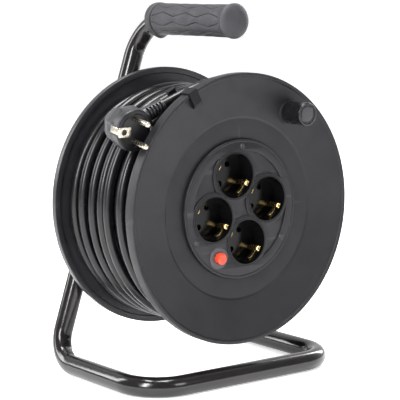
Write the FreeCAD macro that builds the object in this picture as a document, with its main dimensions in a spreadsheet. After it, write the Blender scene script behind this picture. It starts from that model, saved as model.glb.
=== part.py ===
import FreeCAD, Part
import math
import os
import Sketcher

# Extension cord reel. +Z is up, the drum turns about an axis parallel to Y and its socket face looks
# towards -Y. The origin is on the floor, under the middle of the reel's box.
# Every cell of the sheet is a plain number: millimetres, or degrees where its note says so.
SIZES = [
    ("axle_height", 157.7, "drum axis above the floor"),
    ("front_plane", -73.0, "Y of the front edge of the front flange"),
    ("rim_radius", 120.0, "outside of both flanges"),
    ("rim_inner", 116.5, "inside of the rim lip"),
    ("rim_depth", 10.0, "rim lip along the axis"),
    ("drum_width", 125.0, "front edge of the front rim to back edge of the rear rim"),
    ("plate_front", 7.0, "inner end of the dished front face"),
    ("plate_back", 10.5, "back of the front flange plate"),
    ("plate_rim", 1.5, "front of the dished plate where it meets the rim"),
    ("plate_rim_back", 4.2, "back of the dished plate where it meets the rim"),
    ("dish_radius", 81.5, "inner end of the dished part"),
    ("step_front", 8.0, "flat middle of the front flange"),
    ("step_radius", 80.0, "edge of the flat middle, and outside of the barrel"),
    ("opening_radius", 60.0, "opening for the socket panel"),
    ("ledge_radius", 57.5, "inside of the ledge the panel sits on"),
    ("ledge_front", 8.4, "front of the ledge"),
    ("register_outer", 76.2, "ring that centres the barrel"),
    ("register_inner", 73.3, "inside of that ring"),
    ("register_end", 19.0, "end of that ring"),
    ("barrel_inner", 76.5, "inside of the barrel"),
    ("barrel_length", 108.5, "barrel between the flange plates"),
    ("post_radius", 4.5, "screw posts inside the barrel"),
    ("post_circle", 72.8, "radius the posts stand on"),
    ("screw_seat", 3.8, "room in the ribs for a screw head"),
    ("screw_radius", 1.6, "screws of the barrel and the clamp"),
    ("post_start", 35.0, "front end of the posts behind the plate"),
    ("post_length", 73.5, "length of the posts"),
    ("rear_front", 119.0, "inner face of the rear plate"),
    ("rear_back", 121.5, "outer face of the rear plate"),
    ("rear_rim_front", 119.5, "front edge of the rear rim"),
    ("rear_rim_inner", 114.5, "inside of the rear rim"),
    ("rear_dish_front", 121.5, "inner face of the rear plate at the rim"),
    ("rear_dish_back", 124.0, "outer face of the rear plate at the rim"),
    ("rear_register", 112.5, "end of the rear centring ring"),
    ("hub_radius", 14.0, "hub of the rear flange"),
    ("hub_front", 100.0, "front of the hub"),
    ("hub_back", 131.0, "back of the hub"),
    ("rib_depth", 4.0, "stiffening ribs on the rear plate"),
    ("rib_width", 2.5, "thickness of a rib"),
    ("rib_outer", 112.0, "outer end of a rib"),
    ("rib_count", 8, "ribs on the rear plate, a count"),
    ("bush_outer", 8.0, "outside of the bearing bush"),
    ("bush_bore", 5.05, "bore of the bearing bush"),
    ("bush_collar", 12.0, "collar of the bush"),
    ("bush_collar_depth", 1.5, "thickness of the collar"),
    ("axle_radius", 5.0, "axle bolt"),
    ("axle_front", 87.0, "front end of the axle bolt"),
    ("axle_nut_radius", 8.5, "lock nut, across corners"),
    ("axle_nut_depth", 9.0, "lock nut along the axle"),
    ("washer_radius", 11.0, "axle washers"),
    ("washer_depth", 2.0, "thickness of the axle washers"),
    ("axle_gap", 0.4, "end play of the drum at each side"),
    ("tube_radius", 9.0, "frame tube"),
    ("tube_wall", 1.5, "wall of the frame tube"),
    ("leg_plane", 152.0, "tube centre of the legs behind the front plane"),
    ("base_left", 101.0, "tube centre of the left side of the base from the drum axis"),
    ("base_right", 111.0, "tube centre of the right side of the base from the drum axis"),
    ("front_bar", 5.0, "tube centre of the front bar behind the front plane"),
    ("handle_height", 321.8, "tube centre of the handle above the floor"),
    ("handle_front", 18.4, "front end of the tube behind the front plane"),
    ("handle_bend", 38.0, "bend of the tube behind the handle"),
    ("corner_bend", 30.0, "bends at the rear corners of the base"),
    ("front_bend", 36.0, "bends at the front corners of the base"),
    ("weld_gap", 19.0, "right leg ends this far before the left leg's centre line"),
    ("spacer_radius", 13.0, "spacer between the drum and the leg"),
    ("spacer_wrap", 4.0, "how far the spacer reaches round the leg"),
    ("head_radius", 8.5, "head of the axle bolt"),
    ("head_depth", 4.0, "head of the axle bolt"),
    ("grip_front", 9.4, "front end of the grip behind the front plane"),
    ("grip_back", 130.4, "rear end of the grip behind the front plane"),
    ("grip_radius", 14.2, "grip at its middle"),
    ("grip_collar", 15.2, "grip at its rear collar"),
    ("grip_swell", 15.6, "grip at its front end"),
    ("stop_radius", 7.0, "finger stop under the collar"),
    ("stop_drop", 11.0, "centre of the finger stop under the grip's axis"),
    ("plug_depth", 12.0, "plastic plug in the end of the handle tube"),
    ("panel_radius", 59.7, "socket panel"),
    ("panel_front", 5.2, "panel face behind the front plane"),
    ("panel_depth", 3.1, "thickness of the panel"),
    ("well_circle", 30.7, "socket centres from the drum axis"),
    ("well_angle", 102.8, "angle of the first socket, degrees"),
    ("socket_row", 63.0, "direction of a socket's row of pins, degrees"),
    ("well_hole", 21.3, "holes of the panel for the sockets"),
    ("well_outer", 21.2, "outside of a socket well"),
    ("well_inner", 19.7, "inside of a socket well"),
    ("well_proud", 0.9, "collar of a well in front of the panel"),
    ("well_recess", 17.5, "depth of the recess"),
    ("well_floor", 3.0, "floor of a well"),
    ("pin_hole", 2.75, "pin holes of a socket"),
    ("pin_half", 9.5, "pin holes from the middle of the socket"),
    ("earth_width", 4.6, "earth contact strip"),
    ("earth_thick", 0.8, "earth contact strip"),
    ("earth_reach", 18.5, "earth contacts in front of the back of the well"),
    ("earth_tip", 2.6, "bent-in end of an earth contact"),
    ("earth_half", 17.9, "earth contacts from the middle of the socket"),
    ("sleeve_outer", 3.3, "contact sleeve behind a pin hole"),
    ("sleeve_inner", 2.75, "contact sleeve behind a pin hole"),
    ("sleeve_front", 25.0, "front of the contact sleeves behind the front plane"),
    ("live_level", 29.0, "live bar behind the front plane"),
    ("neutral_level", 32.0, "neutral bar behind the front plane"),
    ("earth_level", 26.0, "earth bar behind the front plane"),
    ("bar_depth", 1.0, "thickness of the bars"),
    ("bar_width", 5.0, "width of the live and neutral bars"),
    ("earth_bar_width", 2.4, "width of the earth bar"),
    ("cover_outer", 58.5, "cup that closes the back of the sockets"),
    ("cover_inner", 56.5, "inside of that cup"),
    ("cover_front", 10.6, "front edge of the cup"),
    ("cover_floor", 35.5, "inside of its floor"),
    ("cover_back", 38.0, "back of its floor"),
    ("panel_screw_circle", 55.5, "panel screws from the drum axis"),
    ("panel_screw_radius", 1.5, "panel screws"),
    ("panel_screw_head", 2.6, "panel screw heads"),
    ("panel_post", 2.8, "posts of the cup for the panel screws"),
    ("cutout_x", -24.5, "thermal cut-out from the drum axis"),
    ("cutout_z", -41.4, "thermal cut-out from the drum axis"),
    ("cutout_outer", 8.0, "thermal cut-out housing"),
    ("cutout_bore", 5.35, "bore the button slides in"),
    ("cutout_back", 32.0, "back of the cut-out"),
    ("bezel_outer", 9.8, "ring round the reset button"),
    ("button_radius", 5.0, "reset button"),
    ("button_proud", 0.5, "button in front of the front plane"),
    ("button_length", 17.0, "length of the button"),
    ("spring_radius", 3.4, "mean radius of the reset spring"),
    ("spring_wire", 0.4, "radius of the spring wire"),
    ("spring_pitch", 1.8, "pitch of the reset spring"),
    ("spring_length", 9.0, "length of the reset spring"),
    ("knob_x", 54.5, "winding knob from the drum axis"),
    ("knob_z", 82.4, "winding knob from the drum axis"),
    ("knob_radius", 10.3, "winding knob"),
    ("knob_base", 11.2, "washer under the knob"),
    ("knob_start", 2.0, "back end of the knob behind the front plane"),
    ("knob_length", 23.0, "length of the knob"),
    ("knob_bore", 3.05, "bore of the knob"),
    ("knob_pin", 3.0, "knob pin"),
    ("knob_pocket", 6.5, "room for the head of the pin"),
    ("knob_pocket_depth", 6.5, "room for the head of the pin"),
    ("knob_cap", 8.2, "cap of the knob"),
    ("knob_cap_depth", 2.0, "cap of the knob"),
    ("knob_pin_head", 5.0, "head of the knob pin"),
    ("seat_front", 3.4, "flat seat of the knob on the dished face"),
    ("seat_depth", 5.6, "flat seat of the knob on the dished face"),
    ("seat_radius", 11.5, "flat seat of the knob on the dished face"),
    ("cable_radius", 4.2, "three-core rubber cable"),
    ("winding_inner", 80.3, "winding on the barrel"),
    ("winding_outer", 107.0, "outside of the winding"),
    ("winding_front", 14.0, "front of the winding behind the front plane"),
    ("winding_width", 104.6, "width of the winding"),
    ("grommet_y", 105.0, "cable hole of the barrel behind the front plane"),
    ("grommet_radius", 6.2, "cable hole of the barrel"),
    ("clamp_height", -36.0, "cable clamp from the drum axis"),
    ("clamp_depth", 9.0, "cable clamp along the cable"),
    ("clip_angle", 118.7, "cable clip on the rim, degrees"),
    ("clip_width", 9.0, "cable clip along the rim"),
    ("plug_x", -105.5, "middle of the plug's face from the drum axis"),
    ("plug_y", 15.4, "middle of the plug's face behind the front plane"),
    ("plug_z", 74.3, "middle of the plug's face from the drum axis"),
    ("plug_yaw", -3.0, "plug turned about Z, degrees"),
    ("plug_pitch", 9.5, "plug tipped about X, degrees"),
    ("plug_radius", 18.2, "plug body"),
    ("plug_rim", 9.0, "straight front part of the plug body"),
    ("plug_taper", 21.0, "tapered back part of the plug body"),
    ("plug_back", 12.5, "radius of the plug's back"),
    ("plug_pin", 2.4, "plug pins"),
    ("plug_pin_length", 19.0, "plug pins in front of the face"),
    ("plug_pin_root", 8.0, "plug pins inside the body"),
    ("boot_turn", 25.0, "cable exit about the pin axis, degrees"),
    ("boot_depth", 16.0, "cable exit behind the plug's face"),
    ("boot_start", 17.0, "strain relief starts from the plug's axis"),
    ("boot_end", 40.0, "strain relief ends from the plug's axis"),
    ("boot_thick", 7.4, "strain relief at the plug"),
    ("boot_thin", 5.6, "strain relief at the cable"),
    ("neck_radius", 8.2, "neck of the plug towards the strain relief"),
]
VALUES = {alias: value for alias, value, note in SIZES}
SHEET = "Sizes"

# Route of the free stretch of cable from the strain relief, under the clip and over the top of the
# drum, to where it dives into the winding. From the drum axis and the front plane, like the sizes.
LEAD_ROUTE = [
    (-69.0, 26.6, 93.8),
    (-51.0, 22.3, 102.7),
    (-30.0, 20.0, 110.2),
    (-6.0, 19.5, 114.0),
    (19.0, 20.0, 112.4),
    (43.0, 21.5, 104.8),
    (64.0, 24.0, 90.6),
    (80.0, 27.0, 71.0),
]
# Route of the cable inside the barrel, from the hole to the clamp behind the sockets.
TAIL_ROUTE = [
    (0.0, 105.0, -76.3),
    (0.0, 105.0, -58.0),
    (0.0, 88.0, -42.0),
    (0.0, 60.0, -36.0),
    (0.0, 37.0, -36.0),
]
PANEL_SCREW_ANGLES = (88.0, 208.0, 328.0)
SOCKET_COUNT = 4
BARREL_SCREWS = 4

doc = FreeCAD.newDocument("cord_reel")
subparts = {}


# ---------------------------------------------------------------- helpers

def make_sheet():
    """Put the driving dimensions into the spreadsheet."""
    sheet = doc.addObject("Spreadsheet::Sheet", SHEET)
    for row, (alias, value, note) in enumerate(SIZES, start=1):
        sheet.set("A%d" % row, note)
        sheet.set("B%d" % row, str(value))
        sheet.setAlias("B%d" % row, alias)
    doc.recompute()
    return sheet


def size(alias):
    """The value of a cell of the sheet."""
    return float(doc.getObject(SHEET).get(alias))


def cell(alias):
    """The name of a cell inside an expression; a leading minus and plain numbers are kept."""
    sign = "-" if alias.startswith("-") else ""
    name = alias.lstrip("-")
    return sign + (SHEET + "." + name if name in VALUES else name)


def number(alias):
    """The number that a cell name, or a plain number written as text, stands for."""
    sign = -1.0 if alias.startswith("-") else 1.0
    name = alias.lstrip("-")
    return sign * (size(name) if name in VALUES else float(name))


def total(*aliases):
    """An expression that adds cells up."""
    return " + ".join("(" + cell(alias) + ")" for alias in aliases)


def add_up(*aliases):
    """The sum of cells as a number."""
    return sum(number(alias) for alias in aliases)


def keep(item, label):
    """Register a finished sub-part under the name of its node."""
    item.Label = label
    subparts[label] = item
    return item


def place(item, across, along, up, turn=None):
    """Bind the position of an item: expressions for X, Y and Z, and a fixed rotation."""
    if turn is not None:
        item.Placement = FreeCAD.Placement(FreeCAD.Vector(), turn)
    item.setExpression("Placement.Base.x", across)
    item.setExpression("Placement.Base.y", along)
    item.setExpression("Placement.Base.z", up)


def place_on_drum(item, along=("0",), across=("0",), up=("0",), turn=None):
    """Bind the position of an item measured from the drum axis and the front plane."""
    place(item, total(*across), total("front_plane", *along), total("axle_height", *up), turn)


ALONG_Y = FreeCAD.Rotation(FreeCAD.Vector(1, 0, 0), -90)


def cylinder(name, radius, length, across=("0",), along=("0",), up=("0",), turn=ALONG_Y):
    """A cylinder along +Y, from a point given from the drum axis and the front plane."""
    item = doc.addObject("Part::Cylinder", name)
    item.setExpression("Radius", total(radius))
    item.setExpression("Height", total(*length))
    place_on_drum(item, along, across, up, turn)
    return item


def cone(name, start_radius, end_radius, length, across=("0",), along=("0",), up=("0",)):
    """A cone along +Y."""
    item = doc.addObject("Part::Cone", name)
    item.setExpression("Radius1", total(start_radius))
    item.setExpression("Radius2", total(end_radius))
    item.setExpression("Height", total(*length))
    place_on_drum(item, along, across, up, ALONG_Y)
    return item


def box(name, wide, deep, high, across=("0",), along=("0",), up=("0",), turn=None):
    """A box whose corner with the lowest X, Y and Z is given from the drum axis and front plane."""
    item = doc.addObject("Part::Box", name)
    item.setExpression("Length", total(*wide))
    item.setExpression("Width", total(*deep))
    item.setExpression("Height", total(*high))
    place_on_drum(item, along, across, up, turn)
    return item


def fuse(name, items):
    """All items as one solid."""
    item = doc.addObject("Part::MultiFuse", name)
    item.Shapes = items
    item.Refine = True
    return item


def cut(name, base, tool):
    """The base without the tool."""
    item = doc.addObject("Part::Cut", name)
    item.Base = base
    item.Tool = tool
    return item


def group(name, items):
    """Separate solids in one node."""
    item = doc.addObject("Part::Compound", name)
    item.Links = items
    return item


def ring(name, outer, inner, length, across=("0",), along=("0",), up=("0",)):
    """A tube along +Y."""
    body = cylinder(name + "_body", outer, length, across, along, up)
    bore = cylinder(name + "_bore", inner, length, across, along, up)
    return cut(name, body, bore)


def new_body(label, along=("0",), across=("0",), up=("0",), turn=None):
    """A PartDesign body whose origin is measured from the drum axis and the front plane."""
    body = doc.addObject("PartDesign::Body", label)
    place_on_drum(body, along, across, up, turn)
    return keep(body, label)


def new_sketch(body, name, role):
    """A sketch on one of the body's own origin planes."""
    sketch = body.newObject("Sketcher::SketchObject", name)
    planes = [item for item in body.Origin.OriginFeatures if item.Role == role]
    sketch.AttachmentSupport = [(planes[0], "")]
    sketch.MapMode = "FlatFace"
    return sketch


def bind(sketch, constraint, name, alias):
    """Add a dimension to a sketch and bind it to the sheet."""
    index = sketch.addConstraint(constraint)
    sketch.renameConstraint(index, name)
    if alias.lstrip("-") in VALUES:
        sketch.setExpression("Constraints." + name, cell(alias))


def outline(sketch, corners):
    """A closed outline of straight lines through corners named by cells or plain numbers."""
    count = len(corners)
    points = [FreeCAD.Vector(number(first), number(second), 0) for first, second in corners]
    for index in range(count):
        sketch.addGeometry(Part.LineSegment(points[index], points[(index + 1) % count]), False)
    for index in range(count):
        previous = (index - 1) % count
        sketch.addConstraint(Sketcher.Constraint("Coincident", previous, 2, index, 1))
    for index, (first, second) in enumerate(corners):
        for kind, alias in (("DistanceX", first), ("DistanceY", second)):
            constraint = Sketcher.Constraint(kind, -1, 1, index, 1, number(alias))
            bind(sketch, constraint, "corner%d_%s" % (index, kind[-1]), alias)


def circle(sketch, radius, across="0", up="0"):
    """A circle with its radius and centre bound to the sheet."""
    centre = FreeCAD.Vector(number(across), number(up), 0)
    index = sketch.addGeometry(Part.Circle(centre, FreeCAD.Vector(0, 0, 1), number(radius)), False)
    bind(sketch, Sketcher.Constraint("Radius", index, number(radius)), "radius%d" % index, radius)
    for kind, alias in (("DistanceX", across), ("DistanceY", up)):
        constraint = Sketcher.Constraint(kind, -1, 1, index, 3, number(alias))
        bind(sketch, constraint, "centre%d_%s" % (index, kind[-1]), alias)


def revolve(body, name, corners):
    """A solid of revolution about the body's Y axis; corners are (along Y, radius)."""
    sketch = new_sketch(body, name + "_outline", "YZ_Plane")
    outline(sketch, corners)
    feature = body.newObject("PartDesign::Revolution", name)
    feature.Profile = sketch
    feature.ReferenceAxis = (sketch, ["H_Axis"])
    feature.Angle = 360.0
    sketch.Visibility = False
    return feature


def pad(body, name, sketch, length):
    """A pad towards +Y from a sketch on the XZ plane."""
    feature = body.newObject("PartDesign::Pad", name)
    feature.Profile = sketch
    feature.setExpression("Length", total(*length))
    feature.Reversed = True
    return feature


def pocket(body, name, sketch, length):
    """A pocket towards +Y from a sketch on the XZ plane."""
    feature = body.newObject("PartDesign::Pocket", name)
    feature.Profile = sketch
    feature.setExpression("Length", total(*length))
    doc.recompute()
    if feature.Shape.Volume > feature.BaseFeature.Shape.Volume - 1.0:
        raise RuntimeError(name + " cuts nothing")
    return feature


def lift(sketch, along):
    """Move a sketch on the XZ plane towards +Y."""
    sketch.setExpression("AttachmentOffset.Base.z", "-(" + total(*along) + ")")


def turned_pattern(body, name, feature, count):
    """Repeat a feature about the body's Y axis."""
    pattern = body.newObject("PartDesign::PolarPattern", name)
    pattern.Originals = [feature]
    axes = [item for item in body.Origin.OriginFeatures if item.Role == "Y_Axis"]
    pattern.Axis = (axes[0], [""])
    pattern.Angle = 360.0
    pattern.Occurrences = count
    body.Tip = pattern
    return pattern


def drum_point(across, along, up):
    """A point of the model from its distances to the drum axis and the front plane."""
    return FreeCAD.Vector(across, along + size("front_plane"), up + size("axle_height"))


def rounded_wire(points, radii):
    """A wire of straight runs joined by tangent arcs."""
    edges = []
    start = points[0]
    for before, corner, after, radius in zip(points, points[1:], points[2:], radii):
        towards = (before - corner).normalize()
        onwards = (after - corner).normalize()
        turn = math.pi - towards.getAngle(onwards)
        reach = radius * math.tan(turn / 2)
        first = corner + towards * reach
        last = corner + onwards * reach
        inside = (towards + onwards).normalize()
        middle = corner + inside * (radius / math.cos(turn / 2) - radius)
        edges.append(Part.LineSegment(start, first).toShape())
        edges.append(Part.Arc(first, middle, last).toShape())
        start = last
    edges.append(Part.LineSegment(start, points[-1]).toShape())
    return Part.Wire(edges)


def cord_radii(points):
    """The largest arcs that the runs of a cord's route allow."""
    radii = []
    for before, corner, after in zip(points, points[1:], points[2:]):
        turn = math.pi - (before - corner).getAngle(after - corner)
        shorter = min(before.distanceToPoint(corner), after.distanceToPoint(corner))
        radii.append(0.45 * shorter / math.tan(turn / 2))
    return radii


def swept(wire, radius):
    """A round bar along a wire."""
    start = wire.Edges[0]
    direction = start.tangentAt(start.FirstParameter)
    profile = Part.Wire(Part.makeCircle(radius, start.valueAt(start.FirstParameter), direction))
    return wire.makePipeShell([profile], True, False)


def feature(label, shape):
    """A sub-part whose shape comes from Part's own functions."""
    item = doc.addObject("Part::Feature", label)
    item.Shape = shape
    return item


def route_tube(label, route):
    """The plain solid of a cable along a route."""
    points = [drum_point(*point) for point in route]
    radii = cord_radii(points)
    wire = rounded_wire(points, radii)
    item = keep(feature(label, swept(wire, size("cable_radius"))), label)
    expected = math.pi * size("cable_radius") ** 2 * wire.Length
    print(label, "arc radii", [round(radius, 1) for radius in radii])
    print(label, "length", round(wire.Length, 1), "volume ratio", round(item.Shape.Volume / expected, 4))
    return item


# ---------------------------------------------------------------- frame

def leg_points():
    """Corner points of the frame tube, from the handle round the base to the end of the right leg."""
    legs = size("front_plane") + size("leg_plane")
    bar = size("front_plane") + size("front_bar")
    floor = size("tube_radius")
    top = FreeCAD.Vector(0, legs, size("handle_height"))
    left = FreeCAD.Vector(-size("base_left"), legs, floor)
    right = FreeCAD.Vector(size("base_right"), legs, floor)
    axle = FreeCAD.Vector(0, legs, size("axle_height"))
    rise = axle - right
    lean = top - left
    # The right leg passes behind the axle and meets the left leg here.
    share = ((left.x - right.x) * lean.z - (left.z - right.z) * lean.x) / (rise.x * lean.z - rise.z * lean.x)
    meeting = right + rise * share
    end = meeting - rise.normalize() * size("weld_gap")
    handle = FreeCAD.Vector(0, size("front_plane") + size("handle_front"), size("handle_height"))
    corners = [
        handle,
        top,
        left,
        FreeCAD.Vector(left.x, bar, floor),
        FreeCAD.Vector(right.x, bar, floor),
        right,
        end,
    ]
    return corners, meeting


def frame_tube():
    """One bent steel tube: handle, left leg, base loop and right leg."""
    corners, meeting = leg_points()
    rear = size("corner_bend")
    front = size("front_bend")
    wire = rounded_wire(corners, [size("handle_bend"), rear, front, front, rear])
    bar = swept(wire, size("tube_radius"))
    hollow = swept(wire, size("tube_radius") - size("tube_wall"))
    axle = drum_point(0, size("leg_plane") - 2 * size("tube_radius"), 0)
    hole = Part.makeCylinder(size("axle_radius"), 4 * size("tube_radius"), axle, FreeCAD.Vector(0, 1, 0))
    keep(feature("frame_tube", bar.cut(hollow).cut(hole)), "frame_tube")
    return bar


def leg_weld(bar):
    """The fillet of weld that joins the end of the right leg to the left leg."""
    corners, meeting = leg_points()
    end = corners[-1]
    rise = (meeting - end).normalize()
    stub = Part.makeCylinder(size("tube_radius"), size("weld_gap"), end, rise)
    keep(feature("leg_weld", stub.cut(bar)), "leg_weld")


def hand_grip(bar):
    """Rubber grip with a rear collar, a finger stop and a closed round front end."""
    profile = [
        ("grip_front", "0"),
        ("grip_front", "6.0"),
        ("10.4", "10.5"),
        ("13.4", "14.0"),
        ("17.4", "grip_swell"),
        ("26.4", "15.0"),
        ("46.4", "grip_radius"),
        ("86.4", "grip_radius"),
        ("114.4", "14.8"),
        ("122.4", "grip_collar"),
        ("127.4", "grip_collar"),
        ("grip_back", "14.0"),
        ("grip_back", "0"),
    ]
    body = doc.addObject("PartDesign::Body", "grip_form")
    place(body, "0", total("front_plane"), total("handle_height"))
    revolve(body, "grip_turned", profile)
    stop = doc.addObject("Part::Sphere", "finger_stop")
    stop.setExpression("Radius", total("stop_radius"))
    place(stop, "0", total("front_plane", "122.4"), total("handle_height", "-stop_drop"))
    room = feature("grip_room", bar)
    keep(cut("hand_grip", fuse("grip_solid", [body, stop]), room), "hand_grip")


def tube_end_plug():
    """Plastic plug pressed into the front end of the handle tube."""
    item = doc.addObject("Part::Cylinder", "tube_end_plug")
    item.setExpression("Radius", cell("tube_radius") + " - " + cell("tube_wall"))
    item.setExpression("Height", total("plug_depth"))
    place(item, "0", total("front_plane", "handle_front"), total("handle_height"), ALONG_Y)
    keep(item, "tube_end_plug")


def axle_group(bar):
    """Bolt, washers, lock nut and the saddle spacer that carry the drum."""
    back = add_up("leg_plane", "tube_radius")
    start = ("axle_front",)
    reach = (str(back + size("washer_depth")), "-axle_front")
    shank = cylinder("axle_shank", "axle_radius", reach, along=start)
    head = cone("axle_head", "head_radius", "5.0", ("head_depth",),
                along=("leg_plane", "tube_radius", "washer_depth"))
    keep(fuse("axle_bolt", [shank, head]), "axle_bolt")

    front = ("hub_front", "-axle_gap", "-washer_depth")
    inner = ring("inner_washer", "washer_radius", "axle_radius", ("washer_depth",), along=front)
    outer = ring("outer_washer", "washer_radius", "axle_radius", ("washer_depth",),
                 along=("leg_plane", "tube_radius"))
    keep(group("axle_washers", [inner, outer]), "axle_washers")

    hexagon = doc.addObject("Part::Prism", "nut_hexagon")
    hexagon.Polygon = 6
    hexagon.setExpression("Circumradius", total("axle_nut_radius"))
    hexagon.setExpression("Height", total("axle_nut_depth"))
    nut_start = ("hub_front", "-axle_gap", "-washer_depth", "-axle_nut_depth")
    place_on_drum(hexagon, nut_start, turn=ALONG_Y)
    thread = cylinder("nut_thread", "axle_radius", ("axle_nut_depth",), along=nut_start)
    keep(cut("axle_locknut", hexagon, thread), "axle_locknut")

    spacer_start = ("hub_back", "bush_collar_depth", "axle_gap")
    length = (str(add_up("leg_plane", "-tube_radius", "spacer_wrap")), "-hub_back", "-bush_collar_depth",
              "-axle_gap")
    blank = ring("spacer_blank", "spacer_radius", "axle_radius", length, along=spacer_start)
    keep(cut("axle_spacer", blank, feature("spacer_room", bar)), "axle_spacer")


# ---------------------------------------------------------------- drum

def rear_flange():
    """Rear disc with its rim, hub, centring ring, ribs and screw holes."""
    body = new_body("rear_flange")
    revolve(body, "rear_disc", [
        ("hub_front", "bush_outer"),
        ("hub_front", "hub_radius"),
        ("rear_front", "hub_radius"),
        ("rear_front", "register_inner"),
        ("rear_register", "register_inner"),
        ("rear_register", "register_outer"),
        ("rear_front", "register_outer"),
        ("rear_front", "dish_radius"),
        ("rear_dish_front", "rear_rim_inner"),
        ("rear_rim_front", "rear_rim_inner"),
        ("rear_rim_front", "rim_radius"),
        ("drum_width", "rim_radius"),
        ("drum_width", "rim_inner"),
        ("rear_dish_back", "rim_inner"),
        ("rear_back", "dish_radius"),
        ("rear_back", "hub_radius"),
        ("hub_back", "hub_radius"),
        ("hub_back", "bush_outer"),
    ])
    doc.recompute()
    sketch = new_sketch(body, "rib_plan", "XZ_Plane")
    half = str(size("rib_width") / 2)
    outline(sketch, [("-" + half, "13.0"), (half, "13.0"), (half, "rib_outer"), ("-" + half, "rib_outer")])
    lift(sketch, ("rear_back",))
    rib = pad(body, "rib", sketch, ("rib_depth",))
    doc.recompute()
    turned_pattern(body, "ribs", rib, int(size("rib_count")))
    doc.recompute()
    holes = new_sketch(body, "screw_hole_plan", "XZ_Plane")
    for across, up in post_centres():
        circle(holes, "screw_radius", across, up)
    lift(holes, ("rear_register", "-0.1"))
    pocket(body, "screw_holes", holes, ("rear_back", "-rear_register", "rib_depth", "1.0"))
    doc.recompute()
    seats = new_sketch(body, "screw_seat_plan", "XZ_Plane")
    for across, up in post_centres():
        circle(seats, "screw_seat", across, up)
    lift(seats, ("rear_back",))
    pocket(body, "screw_seats", seats, ("rib_depth", "1.0"))


def front_flange():
    """Front disc with its rim, raised middle, panel opening and boss for the knob pin."""
    body = new_body("front_flange")
    revolve(body, "front_disc", [
        ("ledge_front", "ledge_radius"),
        ("ledge_front", "opening_radius"),
        ("step_front", "opening_radius"),
        ("step_front", "step_radius"),
        ("plate_front", "dish_radius"),
        ("plate_rim", "rim_inner"),
        ("0", "rim_inner"),
        ("0", "rim_radius"),
        ("rim_depth", "rim_radius"),
        ("rim_depth", "rim_inner"),
        ("plate_rim_back", "rim_inner"),
        ("plate_back", "dish_radius"),
        ("plate_back", "register_outer"),
        ("register_end", "register_outer"),
        ("register_end", "register_inner"),
        ("plate_back", "register_inner"),
        ("plate_back", "ledge_radius"),
    ])
    doc.recompute()
    level = new_sketch(body, "knob_level_plan", "XZ_Plane")
    circle(level, "seat_radius", "knob_x", "knob_z")
    lift(level, ("-1.0",))
    pocket(body, "knob_level", level, ("seat_front", "1.0"))
    doc.recompute()
    seat = new_sketch(body, "knob_seat_plan", "XZ_Plane")
    circle(seat, "seat_radius", "knob_x", "knob_z")
    lift(seat, ("seat_front",))
    pad(body, "knob_seat", seat, ("seat_depth",))
    doc.recompute()
    sketch = new_sketch(body, "pin_hole_plan", "XZ_Plane")
    circle(sketch, "knob_pin", "knob_x", "knob_z")
    pocket(body, "pin_hole", sketch, ("plate_back", "1.0"))


def post_centres():
    """Centres of the barrel's screw posts from the drum axis, as text."""
    centres = []
    for index in range(BARREL_SCREWS):
        angle = math.radians(45 + 360 / BARREL_SCREWS * index)
        reach = size("post_circle")
        centres.append((text(reach * math.cos(angle)), text(reach * math.sin(angle))))
    return centres


def drum_barrel():
    """Barrel that carries the winding, with four screw posts and the cable hole."""
    wall = ring("barrel_wall", "step_radius", "barrel_inner", ("barrel_length",), along=("plate_back",))
    posts = []
    for index, (across, up) in enumerate(post_centres()):
        posts.append(cylinder("post_%d" % index, "post_radius", ("post_length",), across=(across,),
                              along=("plate_back", "post_start"), up=(up,)))
    solid = fuse("barrel_solid", [wall] + posts)
    # The centring ring of the rear flange and the screws take their room out of the posts.
    room = ring("rear_ring_room", "register_outer", "register_inner", ("6.6",),
                along=("rear_register", "-0.1"))
    drills = [room]
    for index, (across, up) in enumerate(post_centres()):
        drills.append(cylinder("drill_%d" % index, "screw_radius", ("20.0",), across=(across,),
                               along=("rear_front", "-20.0"), up=(up,)))
    hole = cylinder("cable_hole", "grommet_radius", ("12.0",), along=("grommet_y",), up=("-84.0",),
                    turn=FreeCAD.Rotation())
    drills.append(hole)
    keep(cut("drum_barrel", solid, fuse("barrel_tools", drills)), "drum_barrel")


def cable_grommet():
    """Rubber grommet in the cable hole of the barrel."""
    spot = {"along": ("grommet_y",), "up": ("-80.0",), "turn": FreeCAD.Rotation()}
    body = cylinder("grommet_body", "grommet_radius", ("4.6",), **spot)
    bore = cylinder("grommet_bore", "cable_radius", ("4.6",), **spot)
    keep(cut("cable_grommet", body, bore), "cable_grommet")


def barrel_screws():
    """Four screws that hold the rear flange on the barrel."""
    screws = []
    for index, (across, up) in enumerate(post_centres()):
        shank = cylinder("screw_shank_%d" % index, "screw_radius", ("18.0",), across=(across,),
                         along=("rear_back", "-18.0"), up=(up,))
        head = cone("screw_head_%d" % index, "3.4", "2.2", ("2.0",), across=(across,),
                    along=("rear_back",), up=(up,))
        screws.append(fuse("barrel_screw_%d" % index, [shank, head]))
    keep(group("barrel_screws", screws), "barrel_screws")


def bearing_bush():
    """Collared bush between the hub and the axle bolt."""
    body = new_body("bearing_bush")
    revolve(body, "bush_turned", [
        ("hub_front", "bush_bore"),
        ("hub_front", "bush_outer"),
        ("hub_back", "bush_outer"),
        ("hub_back", "bush_collar"),
        ("132.5", "bush_collar"),
        ("132.5", "bush_bore"),
    ])


# ---------------------------------------------------------------- sockets

def socket_centres():
    """Centres of the four sockets from the drum axis."""
    centres = []
    for index in range(SOCKET_COUNT):
        angle = math.radians(size("well_angle") + 360 / SOCKET_COUNT * index)
        centres.append((size("well_circle") * math.cos(angle), size("well_circle") * math.sin(angle)))
    return centres


def row_turn():
    """Rotation of a socket: its own X runs along the row of pins."""
    return FreeCAD.Rotation(FreeCAD.Vector(0, 1, 0), -size("socket_row"))


def on_row(centre, reach):
    """A point on the row of pins of a socket, as numbers."""
    angle = math.radians(size("socket_row"))
    return (centre[0] + reach * math.cos(angle), centre[1] + reach * math.sin(angle))


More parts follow.
